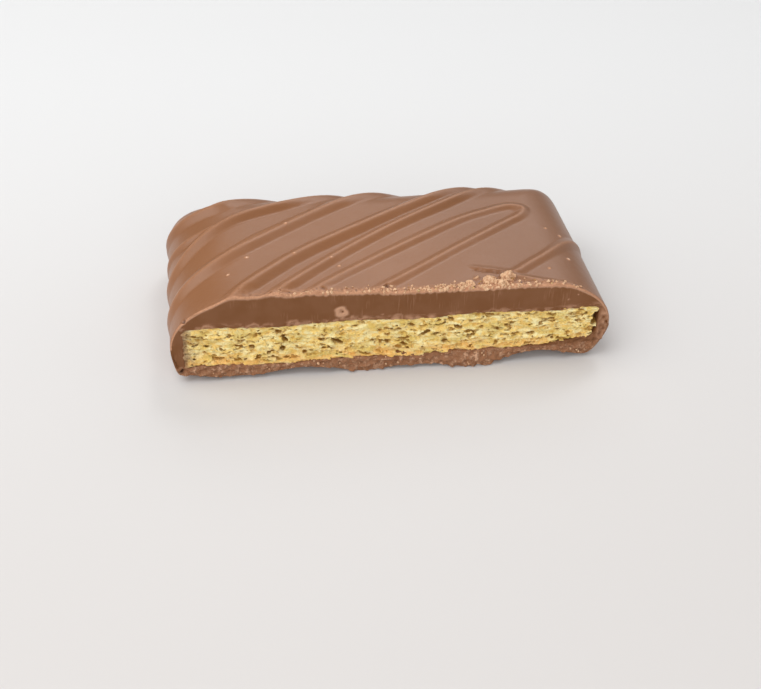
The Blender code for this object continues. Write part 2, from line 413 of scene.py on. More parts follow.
@dataclass(frozen=True)
class Mark:
    """A round mark on the coating: a chip, pit or speck, or the arc of a flake's edge."""

    x: float
    across: float  # height on the cut, or distance behind it on the top
    width: float
    relief: float  # how far it stands out
    pale: float  # how much of its colour is freshly broken chocolate; below 0 it is painted dark, as the shade in a pit
    ring: float = 0.0  # the arc's radius

    def strength(self, x: np.ndarray, across: np.ndarray) -> np.ndarray:
        """How much of the mark each point has, from 0 to 1."""
        return bump(np.hypot(x - self.x, across - self.across), self.ring, self.width)


# Each mark whose pale is below 0 is a pit, painted dark as the shade in it.
CUT_MARKS = (
    Mark(-8.0, 10.8, 1.1, -0.1, 0.7),
    Mark(-8.0, 10.9, 0.5, 0.08, 1.2, 0.65),
    Mark(-7.8, 9.8, 0.4, -0.1, 0.9),
    Mark(-7.9, 10.8, 0.25, -0.3, -0.5),
    Mark(-27.5, 8.9, 1.1, 0.04, 0.35),
    Mark(-27.5, 8.9, 0.3, 0.05, 0.6, 0.9),
    Mark(-21, 8.7, 1.2, 0.04, 0.35),
    Mark(-21, 8.7, 0.3, 0.05, 0.6, 1.0),
    Mark(-15, 9.2, 0.35, 0.05, 0.5, 0.7),
    Mark(-6.5, 9.9, 0.5, -0.06, 0.7),
    Mark(-4.5, 9.7, 0.5, -0.06, 0.6),
    Mark(-2.0, 9.9, 0.25, 0.05, 0.8),
    Mark(0.0, 9.2, 0.85, 0.05, 0.6),
    Mark(0.3, 9.1, 0.3, 0.06, 0.5, 0.75),
    Mark(2.2, 9.0, 1.0, 0.05, 0.6),
    Mark(3.4, 9.1, 0.6, 0.05, 0.7),
    Mark(5.5, 8.9, 0.8, 0.05, 0.5),
    Mark(26.0, 10.7, 0.25, 0.05, 1.2),
    Mark(27.5, 11.6, 0.2, 0.04, 0.8),
    Mark(-31.6, 1.8, 0.45, -0.6, -0.8),
)
# Each mark whose pale is below 0 is a pit, painted dark as the shade in it.
TOP_MARKS = (
    Mark(-30.8, 0.3, 0.4, -0.5, -1.0),
    Mark(-1.2, 1.5, 0.45, -0.4, -0.9),
    Mark(-1.7, 1.2, 0.35, -0.25, -0.7),
    Mark(-10.6, 1.2, 0.4, -0.2, -0.5),
    Mark(-21, 11, 0.42, 0.1, 2.0),
    Mark(-24, 7, 0.35, 0.08, 1.9),
    Mark(-14.5, 19.5, 0.4, 0.1, 1.8),
    Mark(-14, 10, 0.4, 0.1, 1.6),
    Mark(-8.5, 9, 0.35, 0.08, 1.6),
    Mark(-7.5, 7.5, 0.35, 0.08, 1.8),
    Mark(-12.5, 22, 0.35, 0.08, 1.5),
    Mark(28, 8, 0.42, 0.1, 2.0),
    Mark(28.5, 15, 0.4, 0.1, 1.7),
    Mark(24, 4.5, 0.35, 0.08, 1.5),
    Mark(26.5, 16.5, 0.35, 0.08, 1.5),
)


@dataclass(frozen=True)
class Drizzle:
    """One pass of drizzled chocolate, by where it crosses the edges, bends and turns."""

    height: float
    half_width: float
    points: tuple[tuple[float, float], ...]  # x, and distance behind the cut

    def path(self, cut_y: float, spacing: float) -> np.ndarray:
        """The pass as closely spaced points of a smooth curve.

        Args:
            cut_y: Where the cut is.
            spacing: How far apart the points are.

        Returns:
            Plan points.
        """
        knots = np.array(self.points, float) + (0.0, cut_y)
        ends = (2 * knots[0] - knots[1], 2 * knots[-1] - knots[-2])
        knots = np.vstack([ends[0], knots, ends[1]])
        made = []
        for before, start, end, after in zip(knots, knots[1:], knots[2:], knots[3:]):
            steps = max(2, int(np.linalg.norm(end - start) / spacing))
            t = np.linspace(0, 1, steps, endpoint=False)[:, None]
            cubic = 2 * start + (end - before) * t
            cubic = cubic + (2 * before - 5 * start + 4 * end - after) * t**2
            cubic = cubic + (3 * start - before - 3 * end + after) * t**3
            made.append(cubic / 2)
        return np.vstack([*made, knots[-2][None]])


DRIZZLES = (
    Drizzle(1.0, 2.0, ((-37, 29.5), (-32, 27.3), (-27, 27), (-23, 28.2), (-9, 36))),
    Drizzle(0.95, 1.6, ((-36, 11.5), (-31, 15.5), (-27, 19), (-20.5, 23.4), (-10, 28.5), (0, 34))),
    Drizzle(0.7, 1.2, ((-36, 20.5), (-28, 20.5), (-25.5, 21))),
    Drizzle(0.9, 1.8, ((-36, 3.5), (-31.5, 7), (-23.5, 12), (-10.5, 22.5), (7, 34))),
    Drizzle(0.45, 1.0, ((-24, 12), (-19, 17), (-12, 22.5))),
    Drizzle(1.0, 1.8, ((-28, -4), (-18, 6.2), (-13.5, 10.6), (-8, 15), (2.5, 22), (20, 33))),
    Drizzle(0.8, 1.5, ((-22, -4), (-15, 3), (-5.5, 12), (5, 20), (25, 34))),
    Drizzle(
        0.5,
        1.3,
        (
            (-18, -4.5), (-9.5, 3), (-2.7, 8.4), (5, 14), (13, 19.6), (18.5, 22.1), (22, 23),
            (24, 22), (23, 20), (19.5, 17.5), (9.5, 10), (-1, 2), (-8, -4),
        ),
    ),
    Drizzle(0.55, 1.35, ((38, 21.5), (30, 14), (25, 8.8), (21, 5.6), (16.5, 1.8))),
    Drizzle(0.35, 1.0, ((17.5, 3), (22.5, 1), (26.5, 0), (31, -3))),
)


@dataclass(frozen=True)
class Form:
    """The coated form: rounded shoulders, a tucked-in foot, and a base lifted by the cut."""

    half_width: float = 33.0
    cut_y: float = -16.75
    rear_y: float = 17.25
    rear_skew: float = 0.02
    rear_wall: float = 1.9
    top_height: float = 13.9
    top_tilt: float = 0.022
    girth_height: float = 6.0
    corner_power: float = 6.0
    shoulders: Triple = (13.0, 9.0, 8.8)  # left, right, rear
    feet: Triple = (1.35, 3.0, 1.7)
    foot_curve: float = 0.6
    foot_rounding: float = 1.2
    base_lift: float = 0.5
    base_lift_depth: float = 11.0
    # Each place by the cut is x, half length and height: hollows stand off the floor and
    # lumps reach it.
    base_hollows: tuple[Triple, ...] = ((-31.5, 5.0, 0.7), (-13.5, 7.5, 0.85), (22.3, 7.5, 1.2))
    big_lump: Triple = (11.8, 6.5, -0.7)
    small_lump: Triple = (-4.2, 5.0, -0.5)
    lump_reach: float = 0.8  # how far the big lump stands out of the cut
    ripple_broad: float = 0.12  # heights of the slow waves in the set coating
    ripple_fine: float = 0.07
    string_crest: float = 1.4  # 1 is a ridge, 2 a round back
    string_foot: float = 1.3  # how softly a string runs out
    string_runoff: float = 0.35
    string_worn: float = 0.45  # share of a string's height left at the cut
    string_worn_depth: float = 2.5
    string_margin: float = 2.5  # more than any string's half width
    string_spacing: float = 0.2  # between the points worked out along a string
    crest_width: float = 0.5  # of a string's crest, where a highlight is painted, as a share of the string
    crest_fade: float = 5.0
    grid_step: float = 0.29
    column_step: float = 0.22
    fine_rows: float = 1.6  # how many more rows the mesh has by the cut than elsewhere
    fine_reach: float = 1.8  # how far behind the cut they thin out
    section_samples: int = 4001  # along the rounded section that the mesh lines are spaced on
    batch: int = 32  # points of a string that are measured at a time, to spare memory

    def rings(self, x: np.ndarray, y: np.ndarray) -> tuple[np.ndarray, np.ndarray]:
        """How far out over the shoulders each plan point lies, from 0 on the flat to 1.

        Args:
            x: Each point's place along the cut.
            y: Its place from front to rear.

        Returns:
            Its share over the end shoulders, and over the rear shoulder.
        """
        left, right, rear = self.shoulders
        over_left = (-x - (self.half_width - left)) / left
        over_right = (x - (self.half_width - right)) / right
        over_rear = (y - (self.rear_y - rear)) / rear
        return np.clip(np.maximum(over_left, over_right), 0, 1), np.clip(over_rear, 0, 1)

    def _stations(self, low: float, high: float, axis: int, step: float) -> np.ndarray:
        """Positions for mesh lines, spaced evenly along the rounded section over them.

        Args:
            low: The first position.
            high: The last position.
            axis: 0 along the cut, or 1 from the cut to the rear.
            step: The spacing.

        Returns:
            The positions.
        """
        fine = np.linspace(low, high, self.section_samples)
        plan = (fine, 0 * fine + self.cut_y) if axis == 0 else (0 * fine, fine)
        rise = (self.top_height - self.girth_height) * dome(self.rings(*plan)[axis])
        length = np.hypot(np.diff(fine), np.diff(rise))
        if axis == 1:
            length *= 1 + self.fine_rows * np.exp(-(fine[1:] - low) / self.fine_reach)
        run = np.concatenate([[0], np.cumsum(length)])
        return np.interp(np.linspace(0, run[-1], int(run[-1] / step) + 1), run, fine)

    def plan(self) -> tuple[np.ndarray, np.ndarray, np.ndarray, np.ndarray]:
        """The mesh lines in plan, with the far corners drawn in round.

        Returns:
            x, y, the ring (0 on the flat, 1 at the girth) and the tuck (0 at the girth, 1
            and more on the base) of each crossing.
        """
        across = self._stations(-self.half_width, self.half_width, 0, self.column_step)
        along = self._stations(self.cut_y, self.rear_y, 1, self.grid_step)
        x, y = np.meshgrid(across, along, indexing="ij")
        side, rear = self.rings(x, y)
        ring = np.maximum(side, rear)
        powers = side**self.corner_power, rear**self.corner_power
        norm = np.maximum((powers[0] + powers[1]) ** (1 / self.corner_power), 1e-9)
        pull = np.where(ring > 0, ring / norm - 1, 0.0)
        side_share = powers[0] / np.maximum(powers[0] + powers[1], 1e-9)
        shoulder = np.where(x < 0, self.shoulders[0], self.shoulders[1])
        foot = np.where(x < 0, self.feet[0], self.feet[1])
        inset = (1 - ring) * (side_share * shoulder + (1 - side_share) * self.shoulders[2])
        tuck = inset / (side_share * foot + (1 - side_share) * self.feet[2])
        x = x + np.sign(x) * shoulder * side * pull
        y = y + self.shoulders[2] * rear * pull
        return x, y + self.skew(x, y), ring, tuck

    def behind_share(self, y: np.ndarray) -> np.ndarray:
        """How far back a plan point lies, from 0 at the cut to 1 at the far side."""
        return (y - self.cut_y) / (self.rear_y - self.cut_y)

    def skew(self, x: np.ndarray, y: np.ndarray) -> np.ndarray:
        """How far a plan point shifts back, as the cut is not square to the far side."""
        return self.rear_skew * x * self.behind_share(y)

    def top(self, x: np.ndarray, y: np.ndarray) -> np.ndarray:
        """Height of the flat of the top, with the slow ripple of a set coating.

        Args:
            x: Each point's place along the cut.
            y: Its place from front to rear.

        Returns:
            The height at each point.
        """
        broad = self.ripple_broad * np.sin(0.21 * x + 0.9) * np.cos(0.17 * y - 0.4)
        fall = self.top_tilt * x * (1 - self.behind_share(y))
        return self.top_height - fall + broad + self.ripple_fine * np.sin(0.43 * x - 0.31 * y)

    def base(self, x: np.ndarray, y: np.ndarray) -> np.ndarray:
        """How far the broken underside stands off the floor, by the cut.

        Args:
            x: Each point's place along the cut.
            y: Its place from front to rear.

        Returns:
            The height at each point.
        """
        height = self.base_lift + 0 * x
        for centre, half_length, rise in (*self.base_hollows, self.big_lump, self.small_lump):
            height = height + rise * bump(x, centre, half_length)
        return np.clip(height, 0, None) * bump(y, self.cut_y, self.base_lift_depth)

    def lump(self, x: np.ndarray) -> np.ndarray:
        """How far the big lump stands out of the cut at each place along it."""
        return self.lump_reach * bump(x, self.big_lump[0], self.big_lump[1])

    def strings(self, x: np.ndarray, y: np.ndarray) -> tuple[np.ndarray, np.ndarray]:
        """How far the melted strings stand up, and where their crests are.

        Args:
            x: Each point's place along the cut.
            y: Its place from front to rear.

        Returns:
            The strings' height at each point, and a share that is 1 on a crest, where a highlight is
            painted.
        """
        points = np.stack([x.ravel(), y.ravel()], axis=1)
        relief, crest = np.zeros(len(points)), np.zeros(len(points))
        for drizzle in DRIZZLES:
            path = drizzle.path(self.cut_y, self.string_spacing)
            gap = np.full(len(points), np.inf)
            low, high = path.min(0) - self.string_margin, path.max(0) + self.string_margin
            near = (points > low).all(1) & (points < high).all(1)
            for start in range(0, len(path), self.batch):
                away = points[near, None, :] - path[None, start : start + self.batch]
                gap[near] = np.minimum(gap[near], np.sqrt((away**2).sum(2)).min(1))
            share = np.clip(gap / drizzle.half_width, 0, 1) ** self.string_crest
            relief = np.maximum(relief, drizzle.height * (1 - share) ** self.string_foot)
            back = np.maximum(crest, 1 - self.crest_fade * share)
            crest = np.where(gap < self.crest_width * drizzle.half_width, back, crest)
        whole = np.clip((y - self.cut_y) / self.string_worn_depth, 0, 1)
        kept = self.string_worn + (1 - self.string_worn) * whole
        return relief.reshape(x.shape) * kept, np.clip(crest, 0, 1).reshape(x.shape)

    def runoff(self, ring: np.ndarray) -> np.ndarray:
        """The share of its height that a string keeps as it runs over a shoulder."""
        return self.string_runoff + (1 - self.string_runoff) * dome(ring)


@dataclass(frozen=True)
class Biscuit:
    """The biscuit's outline at the cut, read from its CAD node."""

    left: float
    right: float
    bottom: float
    top: float
    wave: float = 0.2
    wavelength: float = 20.0
    wave_start: float = -7.0
    broken_from: float = 15.0  # the lower right end rises from here
    broken_rise: float = 1.6
    rounding: float = 1.1

    @classmethod
    def from_frame(cls) -> "Biscuit":
        """Reads the node's box."""
        low, high = (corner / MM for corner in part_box(CRACKER_NODE))
        return cls(low.x, high.x, low.z + cls.wave, high.z - cls.wave)

    def waved(self, x: np.ndarray | Signal) -> np.ndarray | Signal:
        """How far the baked sheet waves up at each place along the cut.

        Args:
            x: The places, as numbers or as a signal of a node tree.

        Returns:
            The rise, in the same form.
        """
        turn = (x - self.wave_start) * (math.tau / self.wavelength)
        cosine = turn.math("COSINE") if isinstance(turn, Signal) else np.cos(turn)
        return cosine * self.wave

    def ledges(self, tree: Tree, spot: Signal) -> Signal:
        """How far the broken layers of the crumb lie behind the cut, in flat ledges and grit.

        Args:
            tree: The tree under construction.
            spot: The place, in millimetres.

        Returns:
            The distance, in millimetres.
        """
        broad = tree.noise(spot, (0.35, 0.5, 1.1), 3.0, Distortion=0.4)
        layers = tree.noise(spot, (0.6, 0.7, 2.2), 3.0)
        grit = tree.noise(spot, 2.4, 2.0)
        return (broad - 0.45) * 1.3 + (layers - 0.5) * 1.3 + (grit - 0.5) * 0.8

    def upper(self, x: np.ndarray) -> np.ndarray:
        """Height of its upper skin, falling at the ends' rounded corners."""
        inset = np.minimum(x - self.left, self.right - x)
        return self.top + self.waved(x) - corner_fall(inset, self.rounding)

    def lower(self, x: np.ndarray) -> np.ndarray:
        """Height of its lower skin, rising at the ends' rounded corners and at the broken end.

        Args:
            x: Places along the cut.

        Returns:
            The height at each place.
        """
        inset = np.minimum(x - self.left, self.right - x)
        along = np.clip((x - self.broken_from) / (self.right - self.broken_from), 0, 1)
        rise = corner_fall(inset, self.rounding) + self.broken_rise * along**1.5
        return self.bottom + self.waved(x) + rise


# ------------------------------------------------------------------ coating


@dataclass(frozen=True)
class KnifeEdge:
    """The top edge by the cut: rounded, scuffed, and heaped with chips by a lifted flake."""

    rounding: float = 0.25
    rim: float = 0.55  # width of the freshly broken rim
    scuff_depth: float = 1.7  # how far behind the cut the scuffs reach
    scuff_relief: float = 0.26
    crumbled: tuple[tuple[float, float], ...] = (
        (-31, 0.05), (-20, 0.25), (-17, 0.8), (0, 1.0), (18, 1.0), (25, 0.6), (30, 0.05),
    )  # x, and how much of the edge is crumbled there
    lip: tuple[tuple[float, float], ...] = ((12.3, 5.2), (14.5, 4.6), (16.5, 4.1), (18.5, 3.4))
    lip_relief: float = 0.16
    heaps: tuple[tuple[float, float, float, float], ...] = (
        (14.2, 1.7, 1.4, 0.5), (17.0, 2.1, 1.4, 0.5), (15.7, 0.9, 1.2, 0.4), (12.4, 2.6, 0.7, 0.2),
        (11.0, 1.0, 0.9, 0.45), (9.8, 0.8, 0.7, 0.35), (8.2, 0.6, 0.7, 0.25), (6.2, 0.6, 0.6, 0.2),
    )  # x, distance behind the cut, radius, height

    def share(self, x: np.ndarray) -> np.ndarray:
        """How much of the edge is crumbled at each place along the cut."""
        return np.interp(x, *zip(*self.crumbled))

    def heaped(self, x: np.ndarray, behind: np.ndarray) -> np.ndarray:
        """Height of the heaps of chips that stuck to the edge.

        Args:
            x: Each point's place along the cut.
            behind: Its distance behind the cut.

        Returns:
            The height at each point.
        """
        height = 0 * x
        for place, back, radius, high in self.heaps:
            height = np.maximum(height, high * bump(np.hypot(x - place, behind - back), 0, radius))
        return height

    def raised(self, x: np.ndarray, behind: np.ndarray) -> np.ndarray:
        """How far the worn edge stands over the coating's own surface, along its normal.

        Args:
            x: Each point's place along the cut.
            behind: Its distance behind the cut.

        Returns:
            The relief at each point; below 0 it is worn away.
        """
        near = ease(behind, self.scuff_depth, 0.1) * self.share(x)
        scuffs = grain(x, behind, (1.7, 2.0), 7.0) + 0.6 * grain(x, behind, (3.6, 3.6), 8.0)
        crags = 1 + 0.6 * grain(x, behind, (1.3, 1.3), 12.0) + 0.5 * grain(x, behind, (2.8, 2.8), 13.0)
        places, reach = zip(*self.lip)
        back = behind - np.interp(x, places, reach) - 0.2 * waver(x, 0.9, 14.0)
        ends = ease(x, places[0] - 1, places[0] + 1) * ease(x, places[-1] + 1, places[-1] - 1)
        lip = ends * (ease(back, -0.15, 0.1) * ease(back, 1.6, 0.1) * 1.3 - 1.8 * bump(back, -0.2, 0.3))
        relief = self.heaped(x, behind) * crags + self.lip_relief * lip
        return relief - corner_fall(behind, self.rounding) - near * self.scuff_relief * scuffs

    def pale(self, x: np.ndarray, behind: np.ndarray) -> np.ndarray:
        """How much of the colour is freshly broken chocolate.

        Args:
            x: Each point's place along the cut.
            behind: Its distance behind the cut.

        Returns:
            The share at each point; below 0 it is painted dark, as the shade in a pit.
        """
        width = self.rim * (0.3 + 1.2 * self.share(x)) * (1 + 0.5 * waver(x, 1.1, 21.0))
        rim = ease(behind, width, 0.35 * width) * (0.85 + 0.3 * waver(x, 0.6, 23.0))
        speckle = np.clip(0.65 + 1.6 * grain(x, behind, (2.2, 2.2), 22.0), 0, 1)
        scuffs = ease(behind, self.scuff_depth + 0.3, 0.2) * self.share(x) * speckle
        # Dark spots painted along the worn edge as the shade in its pits.
        pit_shade = ease(grain(x, behind, (2.1, 2.4), 24.0), 0.2, 0.5) * ease(behind, 1.6, 0.5)
        fresh = np.maximum(np.maximum(rim, scuffs), ease(self.heaped(x, behind), 0.03, 0.2))
        return fresh - 1.2 * pit_shade * self.share(x) * ease(behind, 0.1, 0.4)


class Skin(Enum):
    """The coating's surfaces, in the order of its material slots."""

    SET = 0
    CUT = 1


@dataclass
class CoatingShell:
    """The chocolate round the biscuit: set skin outside, knife cut in front."""

    form: Form
    biscuit: Biscuit
    edge: KnifeEdge
    upper_rows: int = 30  # of the cut's mesh over the mouth, beside it and under it
    side_rows: int = 34
    lower_rows: int = 20
    ragged_out: float = 0.1  # how far the broken lower layer stands out of the cut
    ragged_grain: float = 0.4
    ragged_overlap: float = 0.1  # it starts this far over the mouth's lower edge
    ragged_fade: float = 1.5  # and is at its full strength this far below that
    crest_highlight: float = 0.3  # painted highlight: how pale the strings' crests are painted, for the light they catch
    worn_reach: float = 6.0  # nothing farther behind the cut is worn by the knife
    flat_limit: float = 1e-9  # what is lower than this lies on the floor
    sharp_degrees: float = 62.0  # edges sharper than this aren't shaded smooth
    mouth_inset: float = 0.1  # the mouth where the biscuit shows is so much narrower than it
    lintel_drop: float = 0.06  # and so much lower than its upper skin
    sill_rise: float = 0.1  # and so much higher than its lower skin
    # How the mouth's edges waver: height, cells for each millimetre, and seed.
    lintel_waver: tuple[Triple, ...] = ((0.2, 0.7, 1.0), (0.14, 2.0, 1.5))
    sill_waver: tuple[Triple, ...] = ((0.25, 0.5, 2.0), (0.2, 1.5, 2.5))
    sill_smears: tuple[Triple, ...] = ((0.8, 2.6, 0.8), (7.0, 5.0, 0.35))  # x, half length, height
    # The chipped wall at the right end: where it sets in along the cut, at its foot and at
    # its head. Each goes from where there is none of it to where there is all.
    wall_from: Pair = (30.9, 31.6)
    wall_foot: Pair = (0.5, 2.0)
    wall_head: Pair = (10.0, 8.0)
    points: list[np.ndarray] = field(default_factory=list)
    pale: list[np.ndarray] = field(default_factory=list)
    faces: list[list[int]] = field(default_factory=list)
    finishes: list[int] = field(default_factory=list)

    def build(self, materials: list[bpy.types.Material]) -> bpy.types.Object:
        """Makes the coating.

        Args:
            materials: One for each Skin.

        Returns:
            The piece.
        """
        x, y, ring, tuck = self.form.plan()
        strings, crests = self.form.strings(x, y)
        strings = strings * self.form.runoff(ring)
        upper, pale = self._upper(x, y, ring, strings)
        # A highlight is painted on the strings' crests through the pale attribute.
        pale = np.where(pale < 0, pale, np.maximum(pale, self.crest_highlight * crests))
        lower = self._lower(x, y, tuck, strings)
        upper_at = self._add(upper, pale)
        lower_at = upper_at.copy()
        lower_at[1:-1, :-1] = self._add(lower[1:-1, :-1], 0 * x[1:-1, :-1])
        self._quads(upper_at, Skin.SET)
        self._lower_faces(lower[..., 2], lower_at)
        self._cut_face(upper_at[:, 0], lower_at[:, 0])
        mesh = bpy.data.meshes.new("coating")
        mesh.from_pydata(np.vstack(self.points) * MM, [], self.faces)
        for material in materials:
            mesh.materials.append(material)
        mesh.polygons.foreach_set("material_index", self.finishes)
        mesh.attributes.new("pale", "FLOAT", "POINT").data.foreach_set("value", np.hstack(self.pale))
        mesh.validate()
        mesh.shade_smooth()
        mesh.set_sharp_from_angle(angle=math.radians(self.sharp_degrees))
        return place(mesh, "coating", CHOCOLATE_SLOT, COATING_NODE)

    def _add(self, points: np.ndarray, pale: np.ndarray) -> np.ndarray:
        """Adds a grid of points.

        Args:
            points: The points.
            pale: How pale each is: freshly broken chocolate, a painted highlight on a string's crest,
                and below 0 a pit painted dark as shade.

        Returns:
            The grid of their indices.
        """
        start = sum(len(p) for p in self.points)
        self.points.append(points.reshape(-1, 3))
        self.pale.append(pale.ravel())
        return np.arange(start, start + points[..., 0].size).reshape(points.shape[:-1])

    def _face(self, loop: list[int], skin: Skin) -> None:
        """Adds one face."""
        self.faces.append([int(v) for v in loop])
        self.finishes.append(skin.value)

    def _rim(self, at: np.ndarray, columns: tuple[int, int], rows: tuple[int, int]) -> list[int]:
        """The indices round a block of the grid, from the first of each to the last."""
        (first, last), (near, far) = columns, rows
        return [
            *at[first:last, near], *at[last, near:far],
            *at[last:first:-1, far], *at[first, far:near:-1],
        ]

    def _quads(self, at: np.ndarray, skin: Skin, flip: bool = False) -> None:
        """Adds the quads of a grid of indices, as triangles where two corners coincide.

        Args:
            at: The grid.
            skin: The surface that they belong to.
            flip: Whether they face the other way.
        """
        corners = [at[:-1, :-1], at[1:, :-1], at[1:, 1:], at[:-1, 1:]]
        table = np.stack([c.ravel() for c in corners], axis=1)
        for quad in (table[:, ::-1] if flip else table).tolist():
            loop = list(dict.fromkeys(quad))
            if len(loop) > 2:
                self._face(loop, skin)

    def _upper(
        self, x: np.ndarray, y: np.ndarray, ring: np.ndarray, strings: np.ndarray
    ) -> tuple[np.ndarray, np.ndarray]:
        """The top and shoulders, with the strings, the worn edge and the marks.

        Args:
            x: Each plan point's place along the cut.
            y: Its place from front to rear.
            ring: How far out over a shoulder it lies.
            strings: The strings' height there.

        Returns:
            The points, and how pale each is: freshly broken chocolate, and below 0 a pit painted dark
                as shade.
        """
        form = self.form
        z = form.girth_height + (form.top(x, y) - form.girth_height) * dome(ring)
        points = np.stack([x, y, z], axis=-1)
        behind = y - form.cut_y
        near = behind[0] < self.worn_reach
        raised, pale = strings.copy(), 0 * x
        raised[:, near] += self.edge.raised(x[:, near], behind[:, near])
        pale[:, near] = self.edge.pale(x[:, near], behind[:, near])
        for mark in TOP_MARKS:
            strength = mark.strength(x, behind)
            raised += mark.relief * strength
            pale = pale * (1 - strength) + mark.pale * strength
        return points + outward(points) * raised[..., None], pale

    def _lower(self, x: np.ndarray, y: np.ndarray, tuck: np.ndarray, strings: np.ndarray) -> np.ndarray:
        """The sides below the girth, and the base.

        Args:
            x: Each plan point's place along the cut.
            y: Its place from front to rear.
            tuck: How far in under the girth it lies.
            strings: The strings' height there.

        Returns:
            The points.
        """
        form = self.form
        side = form.girth_height * (1 - tuck**form.foot_curve)
        z = rounded_max(side, form.base(x, y), form.foot_rounding)
        points = np.stack([x, y, z], axis=-1)
        fade = np.clip(z / form.girth_height, 0, 1) * (tuck < 1)
        return points - outward(points) * (strings * fade)[..., None]

    def _lower_faces(self, z: np.ndarray, at: np.ndarray) -> None:
        """Adds the lower sheet's faces, with one for the rectangle that lies on the floor.

        Args:
            z: The height of each of its points.
            at: The grid of their indices.
        """
        flat = z < self.flat_limit
        columns = np.flatnonzero(flat[:, z.shape[1] // 2])
        first, last = columns[0], columns[-1]
        rows = np.flatnonzero(flat[first : last + 1].all(axis=0))
        near, far = rows[0], rows[-1]
        for block in (
            at[: first + 1],
            at[last:],
            at[first : last + 1, : near + 1],
            at[first : last + 1, far:],
        ):
            self._quads(block, Skin.SET, flip=True)
        self._face(self._rim(at, (first, last), (near, far))[::-1], Skin.SET)

    def _cut_face(self, top_at: np.ndarray, foot_at: np.ndarray) -> None:
        """Adds the cut: chocolate over, beside and under the mouth where the biscuit shows.

        Args:
            top_at: Indices of the points along its top edge.
            foot_at: Indices of the points along its lower edge.
        """
        points = np.vstack(self.points)
        x, high, low = points[top_at, 0], points[top_at, 2], points[foot_at, 2]
        biscuit = self.biscuit
        left, right = biscuit.left + self.mouth_inset, biscuit.right - self.mouth_inset
        inside = np.flatnonzero((x > left) & (x < right))
        first, last = inside[0], inside[-1]
        upper, lower = biscuit.upper(x) - self.lintel_drop, biscuit.lower(x) + self.sill_rise
        for height, cells, seed in self.lintel_waver:
            upper = upper + height * waver(x, cells, seed)
        for height, cells, seed in self.sill_waver:
            lower = lower + height * waver(x, cells, seed)
        for centre, half_length, height in self.sill_smears:
            lower = lower + height * bump(x, centre, half_length)
        tall = np.maximum(high - low, 1e-6)
        shares = []
        for line in (lower, upper):
            share = (line - low) / tall
            share[:first], share[last + 1 :] = share[first], share[last]
            shares.append(share)
        bottom, top = low + shares[0] * tall, low + shares[1] * tall
        rows = []
        edges = low, bottom, top, high
        counts = self.lower_rows, self.side_rows, self.upper_rows
        for foot, head, count in zip(edges, edges[1:], counts):
            steps = np.linspace(0, 1, count)[1 if rows else 0 :]
            rows.append(foot[:, None] + (head - foot)[:, None] * steps)
        z = np.hstack(rows)
        wide = np.repeat(x[:, None], z.shape[1], axis=1)
        out, pale = self._cut_relief(wide, z, bottom[:, None], top[:, None], high[:, None])
        y = self.form.cut_y - out
        at = np.empty(z.shape, int)
        at[:, 0], at[:, -1] = foot_at, top_at
        at[0], at[-1] = top_at[0], top_at[-1]
        inner = np.s_[1:-1, 1:-1]
        at[inner] = self._add(np.stack([wide, y, z], axis=-1)[inner], pale[inner])
        sill, lintel = self.lower_rows - 1, self.lower_rows + self.side_rows - 2
        self._quads(at[:, : sill + 1], Skin.CUT)
        self._quads(at[:, lintel:], Skin.CUT)
        self._quads(at[: first + 1, sill : lintel + 1], Skin.CUT)
        self._quads(at[last:, sill : lintel + 1], Skin.CUT)
        self._pocket(self._rim(at, (first, last), (sill, lintel)))

    def _cut_relief(
        self, x: np.ndarray, z: np.ndarray, bottom: np.ndarray, top: np.ndarray, high: np.ndarray
    ) -> tuple[np.ndarray, np.ndarray]:
        """How far each point of the cut stands out, and how pale it is.

        Args:
            x: Each point's place along the cut.
            z: Its height.
            bottom: Height of the mouth's lower edge at that place.
            top: Height of the mouth's upper edge.
            high: Height of the coating's top.

        Returns:
            The relief, broken below the mouth and knife-smooth above, and the paleness, which is below
            0 where a pit is painted dark as shade.
        """
        low = np.clip((bottom + self.ragged_overlap - z) / self.ragged_fade, 0, 1)
        out = self.ragged_out + self.form.lump(x)
        relief = low * (out + self.ragged_grain * grain(x, z, (0.9, 1.3), 3.1))
        crags = 0.45 * grain(x, z, (1.2, 1.8), 9.0) + 0.2 * grain(x, z, (3.6, 4.2), 9.5)
        relief = relief + ease(low, 0.0, 0.4) * crags
        scuffed = bump(z - top, 0, 0.9) * np.clip(1.5 * grain(x, z, (0.7, 1.4), 5.0) - 0.1, 0, 1)
        relief = relief - 0.2 * scuffed + 0.03 * grain(x, z, (0.25, 0.3), 6.0)
        wall = ease(x, *self.wall_from) * ease(z, *self.wall_head) * ease(z, *self.wall_foot)
        rough = grain(x, z, (2.0, 1.2), 11.0)
        relief = relief + wall * 0.25 * rough
        pale = 0.5 * scuffed + 0.8 * ease(high - z, 0.3, 0.05) + wall * (0.35 + 0.5 * rough)
        pale = np.clip(pale, 0, 1)
        worn = x + 0.3 * grain(x, z, (1.1, 1.1), 15.0), z + 0.3 * grain(x, z, (1.1, 1.1), 16.0)
        for mark in CUT_MARKS:
            strength = mark.strength(*worn)
            relief = relief + mark.relief * strength
            pale = pale * (1 - strength) + mark.pale * strength
        return relief, pale

    def _pocket(self, mouth: list[int]) -> None:
        """Adds the room behind the mouth, closed at its far end.

        Args:
            mouth: Indices of the points round the mouth.
        """
        form = self.form
        back = np.vstack(self.points)[mouth]
        rear = form.rear_y - form.rear_wall
        back[:, 1] = rear + form.skew(back[:, 0], rear)
        back_at = self._add(back, 0 * back[:, 0])
        count = len(mouth)
        for k in range(count):
            after = (k + 1) % count
            self._face([mouth[k], back_at[k], back_at[after], mouth[after]], Skin.CUT)
        self._face(back_at, Skin.CUT)


# ------------------------------------------------------------------ biscuit


